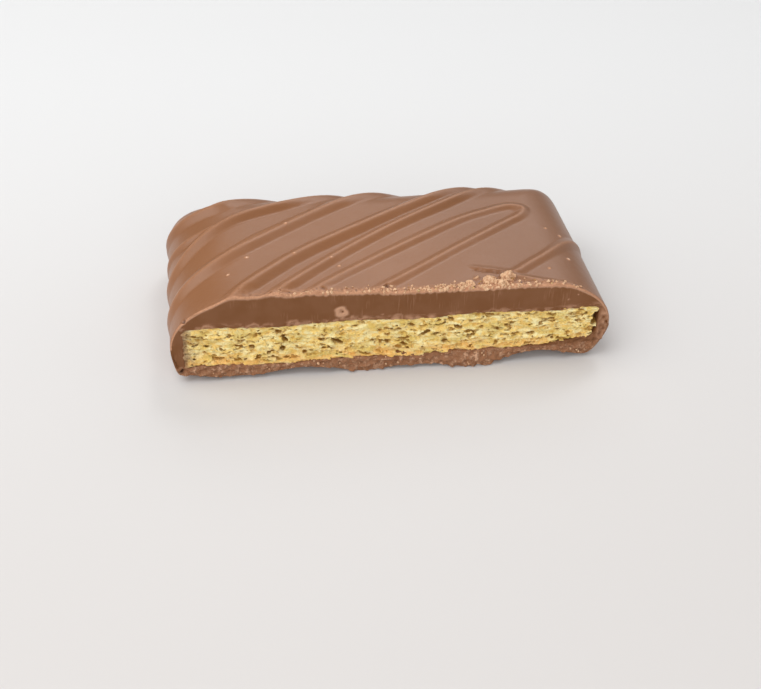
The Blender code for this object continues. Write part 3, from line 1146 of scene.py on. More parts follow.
@dataclass(frozen=True)
class Hole:
    """A void in the crumb, as a tilted ellipsoid that opens at the cut."""

    x: float
    z: float
    half_width: float
    half_height: float
    depth: float = 1.4
    tilt: float = 0.0  # rise for each millimetre of +X

    def field(self, tree: Tree, spot: Signal, cut: Signal) -> Signal:
        """A value that is below 0 inside the void, in about millimetres.

        Args:
            tree: The tree under construction.
            spot: The place, in millimetres.
            cut: Where the cut is.

        Returns:
            The value.
        """
        x, y, z = tree.split(spot)
        along, into = (x - self.x) / self.half_width, (y - cut) / self.depth
        up = (z - self.z - (x - self.x) * self.tilt) / self.half_height
        return ((along * along + into * into + up * up) ** 0.5 - 1.0) * (self.half_height * 1.2)


HOLES = (
    Hole(31.0, 7.0, 0.9, 1.2, 2.4, 0.8),
    Hole(31.3, 4.6, 0.8, 0.9, 1.2),
    Hole(-8.6, 5.6, 1.0, 0.5, 2.2, -0.5),
    Hole(-22.7, 6.7, 0.6, 0.35, 1.0, 0.2),
    Hole(-16.3, 6.5, 0.5, 0.4, 1.7, -0.5),
    Hole(-16.7, 4.9, 0.45, 0.5, 1.8),
    Hole(-18.7, 4.2, 0.35, 0.3, 1.2),
    Hole(-13.4, 3.8, 0.4, 0.35, 1.4),
    Hole(4.6, 6.3, 0.8, 0.35, 1.8, 0.3),
    Hole(9.6, 6.9, 0.7, 0.3, 1.6, -0.3),
    Hole(17.4, 6.8, 0.8, 0.28, 1.6, 0.2),
    Hole(-1.0, 5.0, 0.5, 0.4),
    Hole(0.0, 7.0, 1.3, 0.22, 1.2, -0.1),
    Hole(2.6, 7.6, 0.6, 0.28, 1.2, -0.3),
    Hole(1.5, 4.3, 0.7, 0.33, 1.2, -0.3),
    Hole(8.4, 8.3, 0.6, 0.4, 1.2, -0.5),
    Hole(7.7, 4.4, 0.6, 0.33),
    Hole(11.5, 5.3, 0.7, 0.3, 1.4, 0.4),
    Hole(14.0, 8.8, 1.1, 0.3, 1.2, -0.2),
    Hole(-21.2, 5.5, 0.45, 0.5),
    Hole(-20.2, 3.8, 0.4, 0.35),
    Hole(-17.2, 7.8, 0.6, 0.35),
    Hole(-26.0, 3.6, 1.1, 0.3, 1.2),
    Hole(21.0, 8.4, 0.8, 0.26, 1.2),
    Hole(22.8, 5.9, 0.45, 0.28),
    Hole(20.8, 4.9, 0.8, 0.24, 1.2),
    Hole(23.8, 4.2, 0.6, 0.28, 1.2, 0.3),
    Hole(25.8, 3.7, 0.9, 0.2, 1.1),
)


@dataclass(frozen=True)
class Crumb:
    """The biscuit: a sponge carved from fields of pores, whose front is the cut."""

    form: Form
    biscuit: Biscuit
    voxel: float = 0.134
    porous_depth: float = 1.3
    sponge_depth: float = 1.8
    grow: float = 0.22  # how far it reaches into the chocolate round it
    clearance: float = 0.3  # between its far side and the chocolate
    margins: Triple = (0.5, 0.8, 0.7)  # the block's, beside, before, and over and under the biscuit
    back_voxels: float = 2.5  # what is so near the sponge's back is drawn out
    flat_degrees: float = 2.0  # faces of the far side that turn less than this become one

    def build(self, material: bpy.types.Material) -> bpy.types.Object:
        """Makes the biscuit.

        Args:
            material: The baked crumb.

        Returns:
            The piece.
        """
        biscuit, cut = self.biscuit, self.form.cut_y
        beside, before, over = self.margins
        low = Vector((biscuit.left - beside, cut - before, biscuit.bottom - over))
        high = Vector((biscuit.right + beside, cut + self.sponge_depth, biscuit.top + over))
        counts = [int((high[k] - low[k]) / self.voxel) for k in range(3)]
        values = {
            "Low": low * MM, "High": high * MM, "Count X": counts[0], "Count Y": counts[1],
            "Count Z": counts[2], "Cut": cut, "Left": biscuit.left - self.grow,
            "Right": biscuit.right + self.grow, "Bottom": biscuit.bottom - self.grow,
            "Top": biscuit.top + self.grow, "Porous Depth": self.porous_depth, "Material": material,
        }
        mesh = self._tree().apply(bpy.data.meshes.new("empty"), "biscuit", values)
        self._finish(mesh)
        return place(mesh, "biscuit", BISCUIT_SLOT, CRACKER_NODE)

    def _tree(self) -> GeometryTree:
        """Builds the tree that carves the sponge.

        Returns:
            The tree, with the biscuit's sizes and the block's as its inputs.
        """
        tree = GeometryTree("crumb")
        given = tree.inputs(
            **{
                "Low": "Vector", "High": "Vector", "Count X": "Int", "Count Y": "Int",
                "Count Z": "Int", "Cut": "Float", "Left": "Float", "Right": "Float",
                "Bottom": "Float", "Top": "Float", "Porous Depth": "Float", "Material": "Material",
            }
        )
        spot = tree.vector("SCALE", tree.node("GeometryNodeInputPosition"), 1 / MM)
        x, y, z = tree.split(spot)
        biscuit, top, bottom = self.biscuit, given["Top"], given["Bottom"]
        along = ((x - biscuit.broken_from) / (biscuit.right - biscuit.broken_from)).most(0.0)
        lowness = ((top - z) / (top - bottom)).most(0.0).least(1.0)
        level = z - biscuit.waved(x) - along**1.5 * biscuit.broken_rise * lowness
        slab = (top - level).least(level - bottom)
        slab = self._rounded(slab, (x - given["Left"]).least(given["Right"] - x))
        behind = y - given["Cut"]
        body = slab.least(behind - biscuit.ledges(tree, spot) - slab.step(0.5, 0.0) * 0.35)
        fade = (behind / given["Porous Depth"]).most(0.0) ** 3.0
        density = body
        for pores in self._pores(tree, spot):
            density = density.least(pores + fade + slab.step(0.8, 0.3) * 0.3)
        for hole in HOLES:
            density = density.least(hole.field(tree, spot, given["Cut"]))
        volume = tree.node(
            "GeometryNodeVolumeCube",
            None,
            {
                "Density": density, "Background": -1.0, "Min": given["Low"], "Max": given["High"],
                "Resolution X": given["Count X"], "Resolution Y": given["Count Y"],
                "Resolution Z": given["Count Z"],
            },
        )
        mesh = tree.node(
            "GeometryNodeVolumeToMesh", {"resolution_mode": "GRID"},
            {"Volume": volume, "Threshold": 0.0, "Adaptivity": 0.0},
        )
        tree.finish(mesh, given["Material"])
        return tree

    def _pores(self, tree: Tree, spot: Signal) -> list[Signal]:
        """Values that are below 0 inside the pores.

        Args:
            tree: The tree under construction.
            spot: The place, in millimetres.

        Returns:
            One for bubbles, one for little bubbles and one for gaps between layers.
        """
        size, small = tree.noise(spot, 0.55, 2.0), tree.noise(spot, 1.3, 2.0)
        bubbles = tree.cells(spot, (0.6, 0.7, 1.4))
        little = tree.cells(spot, (1.5, 1.7, 3.0))
        gaps = tree.noise(spot, (0.55, 0.65, 2.4), 2.0, Distortion=0.5)
        return [
            bubbles - size * 2.0 + 0.81,
            (little - small * 1.6 + 0.56) * 0.4,
            (0.605 - gaps) * 3.0,
        ]

    def _rounded(self, a: Signal, b: Signal) -> Signal:
        """The smaller of two depths, with the corner between them rounded.

        Args:
            a: One depth.
            b: The other depth.

        Returns:
            The smaller, rounded.
        """
        radius = self.biscuit.rounding
        gap_a, gap_b = (radius - a).most(0.0), (radius - b).most(0.0)
        corner = radius - (gap_a * gap_a + gap_b * gap_b) ** 0.5
        return a.least(b).least(corner.most(-5.0))

    def _finish(self, mesh: bpy.types.Mesh) -> None:
        """Keeps the one sponge, and draws its back out to the biscuit's far side.

        Args:
            mesh: The carved mesh, which it changes.
        """
        bm = bmesh.new()
        bm.from_mesh(mesh)
        self._keep_largest(bm)
        form = self.form
        back = (form.cut_y + self.sponge_depth - self.back_voxels * self.voxel) * MM
        rear = form.rear_y - form.rear_wall - self.clearance
        reach = (rear - form.cut_y - self.sponge_depth) * MM
        for vert in bm.verts:
            if vert.co.y > back:
                vert.co.y += reach + float(form.skew(vert.co.x, rear))
        behind = back + reach + self.voxel * MM
        cap = [v for v in bm.verts if v.co.y > behind]
        edges = [e for e in bm.edges if any(v.co.y > behind for v in e.verts)]
        flat = math.radians(self.flat_degrees)
        bmesh.ops.dissolve_limit(bm, angle_limit=flat, verts=cap, edges=edges)
        bm.to_mesh(mesh)
        bm.free()
        mesh.shade_smooth()

    def _keep_largest(self, bm: bmesh.types.BMesh) -> None:
        """Deletes every island but the largest: loose bits and sealed bubbles.

        Args:
            bm: The mesh, which it changes.
        """
        left, islands = set(bm.verts), []
        while left:
            front = [left.pop()]
            island = set(front)
            while front:
                for edge in front.pop().link_edges:
                    for other in edge.verts:
                        if other in left:
                            left.remove(other)
                            island.add(other)
                            front.append(other)
            islands.append(island)
        islands.sort(key=len)
        bmesh.ops.delete(bm, geom=[v for island in islands[:-1] for v in island], context="VERTS")
        log.info("biscuit: %d loose islands dropped", len(islands) - 1)


# ------------------------------------------------------------------ crumbs


@dataclass(frozen=True)
class Litter:
    """Crumbs of one kind that the knife left, scattered over a strip of the surface."""

    name: str
    slot: str
    seed: int
    crowding: float  # crumbs for each square millimetre where the strip is full
    smallest: float
    largest: float
    subdivisions: int = 1  # of the ball that each crumb starts as
    roughness: float = 0.8  # how far a crumb's surface wanders, as a share of its size
    lumps: float = 1.1  # how often it wanders, over a crumb of the largest size
    narrow: float = 0.7  # a crumb's least and greatest breadth, as shares of its size
    wide: float = 1.3
    full_turn: float = 6.28  # radians about each axis that crumbs may be turned by

    def build(self, strip: bpy.types.Mesh, material: bpy.types.Material) -> bpy.types.Object:
        """Makes the crumbs.

        Args:
            strip: Where they may lie, with an attribute "fill" from 0 to 1.
            material: What they are of.

        Returns:
            The piece.
        """
        values = {
            "Crowding": self.crowding / MM**2, "Seed": self.seed, "Smallest": self.smallest * MM,
            "Largest": self.largest * MM, "Subdivisions": self.subdivisions, "Material": material,
        }
        mesh = self._tree().apply(strip, self.name, values)
        return place(mesh, self.name, self.slot)

    def _tree(self) -> GeometryTree:
        """Builds the tree that scatters the crumbs and roughens each one.

        Returns:
            The tree, with the crumbs' sizes as its inputs.
        """
        tree = GeometryTree(self.name)
        given = tree.inputs(
            Crowding="Float", Seed="Int", Smallest="Float", Largest="Float", Subdivisions="Int",
            Material="Material",
        )
        fill = tree.node("GeometryNodeInputNamedAttribute", {"data_type": "FLOAT"}, {"Name": "fill"})
        spread = {"distribute_method": "RANDOM"}
        inputs = {"Mesh": given["Geometry"], "Density": fill * given["Crowding"], "Seed": given["Seed"]}
        points = tree.node("GeometryNodeDistributePointsOnFaces", spread, inputs)
        inputs = {"Radius": 1.0, "Subdivisions": given["Subdivisions"]}
        ball = tree.node("GeometryNodeMeshIcoSphere", None, inputs)
        size = self._random(tree, given["Smallest"], given["Largest"], given["Seed"])
        breadths = (self.narrow,) * 3, (self.wide,) * 3
        shape = self._random(tree, *breadths, given["Seed"], "FLOAT_VECTOR")
        turn = self._random(tree, (0, 0, 0), (self.full_turn,) * 3, given["Seed"], "FLOAT_VECTOR")
        scale = tree.vector("SCALE", shape, size)
        inputs = {"Points": points, "Instance": ball, "Rotation": turn, "Scale": scale}
        crumbs = tree.node("GeometryNodeInstanceOnPoints", None, inputs)
        tint = self._random(tree, 0.0, 1.0, given["Seed"])
        crumbs = tree.node(
            "GeometryNodeStoreNamedAttribute",
            {"data_type": "FLOAT", "domain": "INSTANCE"},
            {"Geometry": crumbs, "Name": "tint", "Value": tint},
        )
        real = tree.node("GeometryNodeRealizeInstances", None, {"Geometry": crumbs})
        spot = tree.vector("SCALE", tree.node("GeometryNodeInputPosition"), 1 / MM)
        wander = tree.node(
            "ShaderNodeTexNoise", {"noise_dimensions": "3D"},
            {"Vector": spot, "Scale": self.lumps / self.largest, "Detail": 1.0}, "Color",
        )
        wander = tree.vector("SUBTRACT", wander, (0.5, 0.5, 0.5))
        push = tree.vector("SCALE", wander, given["Largest"] * (2.5 * self.roughness))
        moved = tree.node("GeometryNodeSetPosition", None, {"Geometry": real, "Offset": push})
        tree.finish(moved, given["Material"])
        return tree

    def _random(
        self, tree: Tree, low: object, high: object, seed: Signal, kind: str = "FLOAT"
    ) -> Signal:
        """A random value for each crumb."""
        inputs = {"Min": low, "Max": high, "Seed": seed}
        return tree.node("FunctionNodeRandomValue", {"data_type": kind}, inputs)


def strip_mesh(points: np.ndarray, fill: np.ndarray) -> bpy.types.Mesh:
    """A grid of quads for crumbs to lie on.

    Args:
        points: The grid's points.
        fill: How full of crumbs each is, from 0 to 1.

    Returns:
        The mesh, in metres, with the attribute "fill".
    """
    at = np.arange(fill.size).reshape(fill.shape)
    corners = [at[:-1, :-1], at[1:, :-1], at[1:, 1:], at[:-1, 1:]]
    mesh = bpy.data.meshes.new("strip")
    faces = np.stack([c.ravel() for c in corners], axis=1).tolist()
    mesh.from_pydata(points.reshape(-1, 3) * MM, [], faces)
    mesh.attributes.new("fill", "FLOAT", "POINT").data.foreach_set("value", fill.ravel())
    return mesh


@dataclass(frozen=True)
class Debris:
    """Everything that the knife left lying: by the top edge, along the cut and below it."""

    form: Form
    biscuit: Biscuit
    edge: KnifeEdge
    step: float = 0.25
    top_span: Pair = (-31.0, 31.0)  # along the cut
    top_reach: float = 4.0  # how far behind the cut crumbs lie on the top
    cut_span: Pair = (-30.5, 30.0)
    cut_heights: Pair = (-2.2, 0.2)  # of the rubble, over the biscuit's bottom
    stand_off: float = 0.05  # how far the strips keep from the cut's plane

    def top_strip(self) -> tuple[np.ndarray, np.ndarray, np.ndarray]:
        """A strip of the top behind the cut.

        Returns:
            Its points, and each point's x and distance behind the cut.
        """
        form = self.form
        along = np.arange(*self.top_span, self.step)
        x, behind = np.meshgrid(
            along, np.arange(self.stand_off, self.top_reach, self.step), indexing="ij"
        )
        y = form.cut_y + behind
        ring = form.rings(x, y)[0]
        z = form.girth_height + (form.top(x, y) - form.girth_height) * dome(ring)
        z = z + form.strings(x, y)[0] * form.runoff(ring) + self.edge.raised(x, behind)
        return np.stack([x, y, z], axis=-1), x, behind

    def edge_fill(self, x: np.ndarray, behind: np.ndarray) -> np.ndarray:
        """How full of crumbs the top is: a fringe on the cut's edge, and the heaps.

        Args:
            x: Each point's place along the cut.
            behind: Its distance behind the cut.

        Returns:
            The share at each point, from 0 to 1.
        """
        share = self.edge.share(x)
        fringe = share**2 * np.exp(-((behind / (0.3 + 0.7 * share)) ** 2))
        fringe = fringe * (0.45 + 0.55 * ease(x, -2, 6))
        patchy = np.clip(0.6 + 1.3 * waver(x, 0.8, 31.0), 0.1, 1)
        return np.maximum(fringe * patchy, ease(self.edge.heaped(x, behind), 0.05, 0.3))

    def cut_strip(self) -> tuple[np.ndarray, np.ndarray]:
        """A strip of the cut, along the biscuit's lower skin.

        Returns:
            Its points, and each point's x.
        """
        along = np.arange(*self.cut_span, self.step)
        x, over = np.meshgrid(along, np.arange(*self.cut_heights, self.step), indexing="ij")
        z = self.biscuit.bottom + self.biscuit.waved(x) + over
        out = self.stand_off + self.form.lump(x)
        y = self.form.cut_y - out * ease(over, 0.4, -0.8)
        return np.stack([x, y, z], axis=-1), x

    def build(self, chocolate: bpy.types.Material, biscuit: bpy.types.Material) -> None:
        """Makes all the crumbs.

        Args:
            chocolate: The chocolate chips' finish.
            biscuit: The biscuit crumbs' finish.
        """
        points, x, behind = self.top_strip()
        fill = self.edge_fill(x, behind)
        shavings = Litter(
            "edge_shavings", CHOCOLATE_SLOT, seed=3, crowding=17.0, smallest=0.07, largest=0.26
        )
        shavings.build(strip_mesh(points, fill), chocolate)
        chips = Litter(
            "heaped_chips", CHOCOLATE_SLOT, seed=5, crowding=8.0, smallest=0.13, largest=0.34,
            subdivisions=2,
        )
        heaped = ease(self.edge.heaped(x, behind), 0.1, 0.3)
        chips.build(strip_mesh(points, heaped), chocolate)
        grains = Litter("edge_grains", BISCUIT_SLOT, seed=8, crowding=2.0, smallest=0.05, largest=0.15)
        grains.build(strip_mesh(points, fill * ease(x, -12, 6)), biscuit)
        points, x = self.cut_strip()
        clear = self.form.base(x, 0 * x + self.form.cut_y)
        fill = ease(points[..., 2] - clear, 0.0, 0.4)
        rubble = Litter(
            "lower_rubble", CHOCOLATE_SLOT, seed=13, crowding=0.7, smallest=0.05, largest=0.2
        )
        rubble.build(strip_mesh(points, fill), chocolate)


# ------------------------------------------------------------------ finishes


@dataclass(frozen=True)
class Finish:
    """A finish: its name and the constants of its shader."""

    name: str
    roughness: float
    specular: float = 0.5
    ior: float = 1.5

    def start(self) -> tuple[Tree, bpy.types.Material, bpy.types.Node]:
        """A new material with its constants set.

        Returns:
            Its tree, the material and its Principled shader.
        """
        made = bpy.data.materials.new(self.name)
        made.use_nodes = True
        shader = made.node_tree.nodes["Principled BSDF"]
        shader.inputs["Roughness"].default_value = self.roughness
        shader.inputs["Specular IOR Level"].default_value = self.specular
        shader.inputs["IOR"].default_value = self.ior
        return Tree(made.node_tree), made, shader

    def spot(self, tree: Tree) -> Signal:
        """The place on the piece, in millimetres."""
        coordinates = tree.node("ShaderNodeTexCoord", None, None, "Object")
        return tree.vector("SCALE", coordinates, 1 / MM)

    def connect(self, tree: Tree, shader: bpy.types.Node, **feeds: Signal) -> None:
        """Links signals to the shader.

        Args:
            tree: The material's tree.
            shader: Its Principled shader.
            feeds: What feeds it: colour, roughness, or height in millimetres.
        """
        for name, signal in feeds.items():
            if name == "height":
                inputs = {"Height": signal, "Distance": MM, "Strength": 1.0}
                signal = tree.node("ShaderNodeBump", None, inputs)
            socket = {"colour": "Base Color", "roughness": "Roughness", "height": "Normal"}[name]
            tree.nodes.links.new(signal.socket, shader.inputs[socket])


@dataclass(frozen=True)
class Pattern:
    """A pattern of noise, as a share that steps from 0 to 1 between two of its values."""

    scale: float | Triple  # for each millimetre, or one for each axis
    detail: float
    low: float
    high: float
    roughness: float = 0.5

    def on(self, tree: Tree, spot: Signal) -> Signal:
        """The pattern's share at a place."""
        noise = tree.noise(spot, self.scale, self.detail, Roughness=self.roughness)
        return noise.step(self.low, self.high)


@dataclass(frozen=True)
class SetChocolate(Finish):
    """The coating's own skin: satin, with faint bloom, paler where scuffed, and with painted highlight
    and shade.
    """

    colour: Triple = (0.265, 0.1075, 0.04)
    bloom: Triple = (0.29, 0.124, 0.053)
    painted_shade: Triple = (0.225, 0.091, 0.034)  # painted shade: darker towards the right and the rear, where less light falls
    scuffed: Triple = (0.58, 0.29, 0.16)
    # dark: painted shade for pits
    dark: Triple = (0.07, 0.025, 0.012)
    creamy: Triple = (0.92, 0.78, 0.62)
    shade_along: Pair = (-2.0, 26.0)  # the painted shade deepens from the first x to the second
    shade_behind: Pair = (-6.0, 14.0)  # and from the first y to the second
    clouds: Pattern = Pattern(0.13, 3.0, 0.35, 0.7)  # of bloom
    speckles: Pattern = Pattern(3.0, 2.0, 0.3, 0.6)  # in what is scuffed

    def make(self) -> bpy.types.Material:
        """Makes the material.

        Returns:
            The material.
        """
        tree, made, shader = self.start()
        spot = self.spot(tree)
        cloud = self.clouds.on(tree, spot)
        fine = tree.noise(spot, 1.6, 3.0)
        pale = tree.attribute("pale")
        speckle = self.speckles.on(tree, spot)
        colour = tree.mix(cloud * 0.5 + (fine - 0.5) * 0.3, self.colour, self.bloom)
        x, y, _ = tree.split(spot)
        # Painted shade: darker towards the right and the rear.
        shade_share = x.step(*self.shade_along) + y.step(*self.shade_behind) * 0.5
        colour = tree.mix(shade_share.least(1.0), colour, self.painted_shade)
        fresh = pale.most(0.0).least(1.0)
        # The scuffed colour also paints a highlight on the strings' crests, through the pale attribute.
        colour = tree.mix(fresh * (speckle * 0.4 + 0.6), colour, self.scuffed)
        colour = tree.mix((pale - 1.0).most(0.0), colour, self.creamy)
        # Pits are painted dark as shade.
        colour = tree.mix((pale * -1.0).most(0.0), colour, self.dark)
        rough = self.roughness + (fine - 0.5) * 0.1 + fresh * 0.3
        height = tree.noise(spot, 0.7, 4.0) * 0.05 + tree.noise(spot, 6.0, 2.0) * 0.006
        height = height + fresh * tree.noise(spot, 4.0, 3.0) * 0.1
        self.connect(tree, shader, colour=colour, roughness=rough, height=height)
        return made


@dataclass(frozen=True)
class CutChocolate(Finish):
    """The knife's face: smooth and dark, scuffed by the biscuit, crumbly below it, with pits painted
    dark as shade.
    """

    cut: Triple = (0.187, 0.073, 0.025)
    smear: Triple = (0.205, 0.085, 0.034)
    scuffed: Triple = (0.56, 0.31, 0.19)
    crumbly: Triple = (0.31, 0.142, 0.07)
    broken: Triple = (0.68, 0.40, 0.25)
    # dark: painted shade for pits
    dark: Triple = (0.05, 0.02, 0.01)
    streaks: Pattern = Pattern((4.0, 1.0, 0.35), 2.0, 0.5, 0.75)  # that the knife drew
    streaked: Pattern = Pattern(0.3, 2.0, 0.45, 0.7)  # where the streaks lie
    patches: Pattern = Pattern((0.7, 1.0, 1.3), 4.0, 0.5, 0.62)  # that the biscuit scuffed
    mottles: Pattern = Pattern(1.3, 4.0, 0.46, 0.7, 0.65)  # of the broken lower layer
    smears: Pattern = Pattern(0.35, 2.0, 0.35, 0.65)

    def make(self, biscuit: Biscuit) -> bpy.types.Material:
        """Makes the material.

        Args:
            biscuit: Where the biscuit lies.

        Returns:
            The material.
        """
        tree, made, shader = self.start()
        spot = self.spot(tree)
        x, _, z = tree.split(spot)
        level = z - biscuit.waved(x)
        over = level - biscuit.top
        streaks = self.streaks.on(tree, spot) * self.streaked.on(tree, spot)
        patches = self.patches.on(tree, spot)
        scuff = over.step(1.0, 0.1) * over.step(-0.4, 0.0) * patches
        lower = (level - biscuit.bottom).step(0.6, 0.0)
        mottle = self.mottles.on(tree, spot)
        pale = tree.attribute("pale")
        colour = tree.mix(self.smears.on(tree, spot), self.cut, self.smear)
        colour = tree.mix(streaks * 0.3, colour, self.scuffed)
        colour = tree.mix(scuff * 0.5, colour, self.scuffed)
        colour = tree.mix(pale.most(0.0).least(1.0), colour, self.scuffed)
        colour = tree.mix(lower * 0.9, colour, tree.mix(mottle, self.crumbly, self.broken))
        # Pits are painted dark as shade.
        colour = tree.mix((pale * -1.0).most(0.0), colour, self.dark)
        rough = self.roughness + lower * 0.2 + scuff * 0.15 + pale.most(0.0) * 0.2
        height = streaks * 0.02 + mottle * 0.14 * (lower + scuff)
        height = height + pale.most(0.0) * tree.noise(spot, 3.0, 3.0) * 0.12
        self.connect(tree, shader, colour=colour, roughness=rough, height=height)
        return made


@dataclass(frozen=True)
class ChippedChocolate(Finish):
    """Loose chips: broken chocolate, dull, each its own shade."""

    dark: Triple = (0.50, 0.25, 0.13)
    light: Triple = (0.87, 0.61, 0.38)

    def make(self) -> bpy.types.Material:
        """Makes the material.

        Returns:
            The material.
        """
        tree, made, shader = self.start()
        spot = self.spot(tree)
        mottle = tree.noise(spot, 2.5, 3.0)
        share = tree.attribute("tint") * 0.35 + (mottle - 0.25) * 0.9
        colour = tree.mix(share.most(0.0).least(1.0), self.dark, self.light)
        self.connect(tree, shader, colour=colour, height=tree.noise(spot, 5.0, 3.0) * 0.08)
        return made


@dataclass(frozen=True)
class BakedCrumb(Finish):
    """Golden crumb, browner at its skins, with painted shade on its recessed ledges and deep in its
    pores.
    """

    pale: Triple = (1.0, 0.88, 0.47)
    golden: Triple = (0.98, 0.70, 0.23)
    olive: Triple = (0.72, 0.52, 0.13)
    # Toasted colour, also painted as shade on the recessed ledges.
    toasted_and_recess_shade: Triple = (0.94, 0.52, 0.14)
    # Painted shade deep in the pores.
    pore_shade: Triple = (0.44, 0.21, 0.035)
    smeared: Triple = (0.36, 0.21, 0.12)
    fibres: Pattern = Pattern((1.0, 1.0, 1.9), 5.0, 0.4, 0.6, 0.6)
    smears: Pattern = Pattern(0.9, 3.0, 0.38, 0.56)  # of chocolate by the left end

    def make(self, biscuit: Biscuit, cut_y: float) -> bpy.types.Material:
        """Makes the material.

        Args:
            biscuit: Where the biscuit lies.
            cut_y: Where the cut is.

        Returns:
            The material.
        """
        tree, made, shader = self.start()
        spot = self.spot(tree)
        x, y, z = tree.split(spot)
        level = z - biscuit.waved(x)
        ledge = biscuit.ledges(tree, spot)
        depth = y - cut_y - ledge
        fibres = self.fibres.on(tree, spot)
        clouds = tree.noise(spot, (0.3, 0.3, 0.7), 3.0)
        grit = tree.noise(spot, 3.0, 3.0, Roughness=0.7)
        colour = tree.mix(fibres, self.golden, self.pale)
        foot = (level - biscuit.bottom).step(2.8, 0.3)
        colour = tree.mix(clouds.step(0.46, 0.62) * 0.6, colour, self.olive)
        colour = tree.mix(foot * clouds.step(0.64, 0.4) * 0.8, colour, self.toasted_and_recess_shade)
        colour = tree.mix(grit.step(0.55, 0.7) * (foot * 0.3 + 0.2), colour, self.toasted_and_recess_shade)
        # Painted shade on the recessed ledges.
        colour = tree.mix(ledge.step(0.0, 0.7) * 0.35, colour, self.toasted_and_recess_shade)
        # Painted shade deep in the pores.
        colour = tree.mix(depth.step(0.05, 0.7) * 0.9, colour, self.pore_shade)
        skin = (level - biscuit.bottom).step(0.35, 0.0).most((biscuit.top - level).step(0.3, 0.0))
        colour = tree.mix(skin * 0.6 * fibres, colour, self.smeared)
        inset = x - biscuit.left
        smear = inset.step(2.6, 0.2) * self.smears.on(tree, spot)
        smear = smear.most(inset.step(1.2, 0.3))
        colour = tree.mix(smear * 0.9, colour, self.smeared)
        height = grit * 0.24 + tree.noise(spot, 7.0, 2.0) * 0.06
        self.connect(tree, shader, colour=colour, height=height)
        return made


# ------------------------------------------------------------------ studio


@dataclass(frozen=True)
class Viewpoint:
    """The photograph's viewing angle, for a picture 36 mm wide on the sensor."""

    azimuth: float = -9.294
    elevation: float = 32.487
    roll: float = 1.949
    distance: float = 195.195
    focal_pixels: float = 1225.1
    target: Triple = (0.0, 0.25, 7.15)
    target_pixel: Pair = (378.7, 268.0)
    sensor: float = 36.0

    def build(self) -> None:
        """Makes the scene's camera."""
        azimuth, elevation, roll = map(math.radians, (self.azimuth, self.elevation, self.roll))
        level = math.cos(elevation)
        back = Vector((math.sin(azimuth) * level, -math.cos(azimuth) * level, math.sin(elevation)))
        right = Vector((math.cos(azimuth), math.sin(azimuth), 0.0))
        up = back.cross(right)
        rolled = right * math.cos(roll) + up * math.sin(roll)
        upright = up * math.cos(roll) - right * math.sin(roll)
        turn = Matrix((rolled, upright, back)).transposed().to_quaternion()
        across = (self.target_pixel[0] - PICTURE_WIDTH / 2) / self.focal_pixels
        down = (self.target_pixel[1] - PICTURE_HEIGHT / 2) / self.focal_pixels
        swing: Quaternion = Vector((0, 0, -1)).rotation_difference(Vector((across, -down, -1)))
        camera = bpy.data.cameras.new("camera")
        camera.lens = self.focal_pixels * self.sensor / PICTURE_WIDTH
        camera.sensor_width = self.sensor
        camera.sensor_fit = "HORIZONTAL"
        camera.clip_start, camera.clip_end = 0.001, 10.0
        made = bpy.data.objects.new("camera", camera)
        bpy.context.scene.collection.objects.link(made)
        made.rotation_mode = "QUATERNION"
        made.rotation_quaternion = turn @ swing.inverted()
        made.location = (Vector(self.target) + back * self.distance) * MM
        bpy.context.scene.camera = made


@dataclass(frozen=True)
class Softbox:
    """A soft light aimed at the middle of the object."""

    name: str
    place: Triple  # metres
    width: float
    height: float
    radiance: float

    def build(self) -> None:
        """Makes the light."""
        light = bpy.data.lights.new(self.name, "AREA")
        light.shape = "RECTANGLE"
        light.size, light.size_y = self.width, self.height
        light.energy = self.radiance * math.pi * self.width * self.height
        made = bpy.data.objects.new(self.name, light)
        made.location = self.place
        made.rotation_mode = "QUATERNION"
        made.rotation_quaternion = Vector(self.place).to_track_quat("Z", "Y")
        bpy.context.scene.collection.objects.link(made)


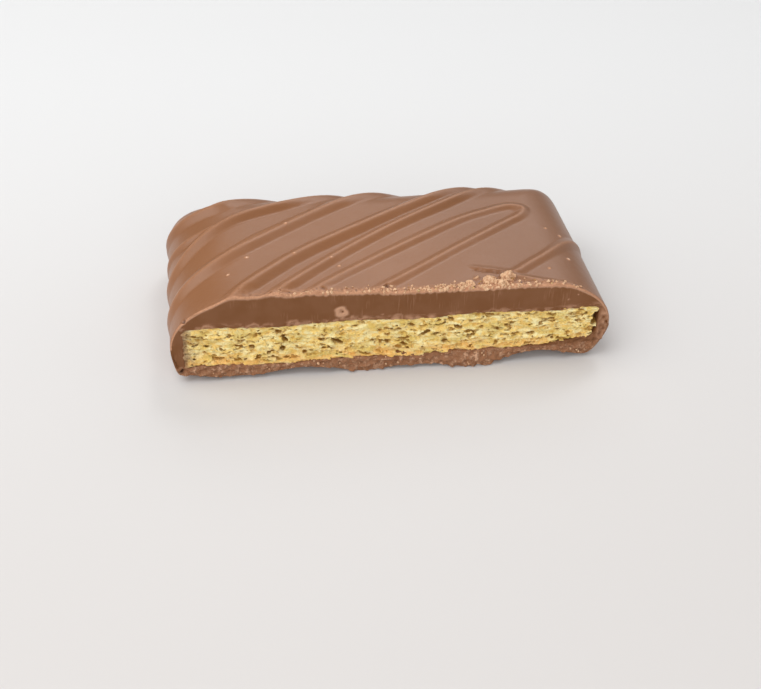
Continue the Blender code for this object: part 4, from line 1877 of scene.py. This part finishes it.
@dataclass(frozen=True)
class Studio:
    """A pale floor, painted darker and warmer towards the camera as shade, under soft light."""

    floor_half_width: float = 3.0
    far_floor: Triple = (0.745, 0.745, 0.745)
    # Painted shade: the floor is darker and warmer near the camera.
    near_floor_painted_shade: Triple = (0.65, 0.624, 0.608)
    floor_fade: Pair = (-90.0, 110.0)  # mm, from the near colour, painted as shade, to the far
    sky: float = 0.24
    softboxes: tuple[Softbox, ...] = (
        Softbox("key", (-0.36, -0.06, 0.66), 0.76, 0.8, 2.5),
        Softbox("rear_panel", (0.6, 1.6, 1.08), 2.4, 0.7, 1.5),
        Softbox("rear_lamp", (0.6, 1.05, 1.5), 0.5, 0.5, 6.5),
        Softbox("front_panel", (-0.2, -1.6, 0.9), 3.0, 1.1, 1.7),
        Softbox("left_panel", (-1.7, -0.1, 0.5), 2.6, 1.0, 0.5),
        Softbox("right_panel", (1.7, -0.1, 0.5), 2.6, 1.0, 0.5),
    )

    def build(self) -> None:
        """Makes the floor, the sky and the lights."""
        half = self.floor_half_width
        mesh = bpy.data.meshes.new("floor")
        corners = [(-half, -half, 0), (half, -half, 0), (half, half, 0), (-half, half, 0)]
        mesh.from_pydata(corners, [], [(0, 1, 2, 3)])
        floor = bpy.data.objects.new("floor", mesh)
        bpy.context.scene.collection.objects.link(floor)
        card = Finish("floor_card", roughness=0.7, specular=0.2)
        tree, made, shader = card.start()
        share = tree.split(card.spot(tree))[1].step(*self.floor_fade)
        card.connect(tree, shader, colour=tree.mix(share, self.near_floor_painted_shade, self.far_floor))
        mesh.materials.append(made)
        world = bpy.data.worlds.new("sky")
        world.use_nodes = True
        world.node_tree.nodes["Background"].inputs["Color"].default_value = (1, 1, 1, 1)
        world.node_tree.nodes["Background"].inputs["Strength"].default_value = self.sky
        bpy.context.scene.world = world
        for softbox in self.softboxes:
            softbox.build()
        bpy.context.scene.view_settings.view_transform = "Standard"


def main() -> None:
    """Builds the piece, its finishes and the studio."""
    logging.basicConfig(level=logging.INFO, format="%(name)s: %(message)s")
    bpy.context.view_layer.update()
    form, biscuit, edge = Form(), Biscuit.from_frame(), KnifeEdge()
    skins = [
        SetChocolate("set_chocolate", roughness=0.37).make(),
        CutChocolate("cut_chocolate", roughness=0.5, specular=0.2).make(biscuit),
    ]
    CoatingShell(form, biscuit, edge).build(skins)
    baked = BakedCrumb("baked_crumb", roughness=0.85, specular=0.12).make(biscuit, form.cut_y)
    Crumb(form, biscuit).build(baked)
    chipped = ChippedChocolate("chipped_chocolate", roughness=0.6, specular=0.3).make()
    Debris(form, biscuit, edge).build(chipped, baked)
    Viewpoint().build()
    Studio().build()


if __name__ == "__main__":
    main()
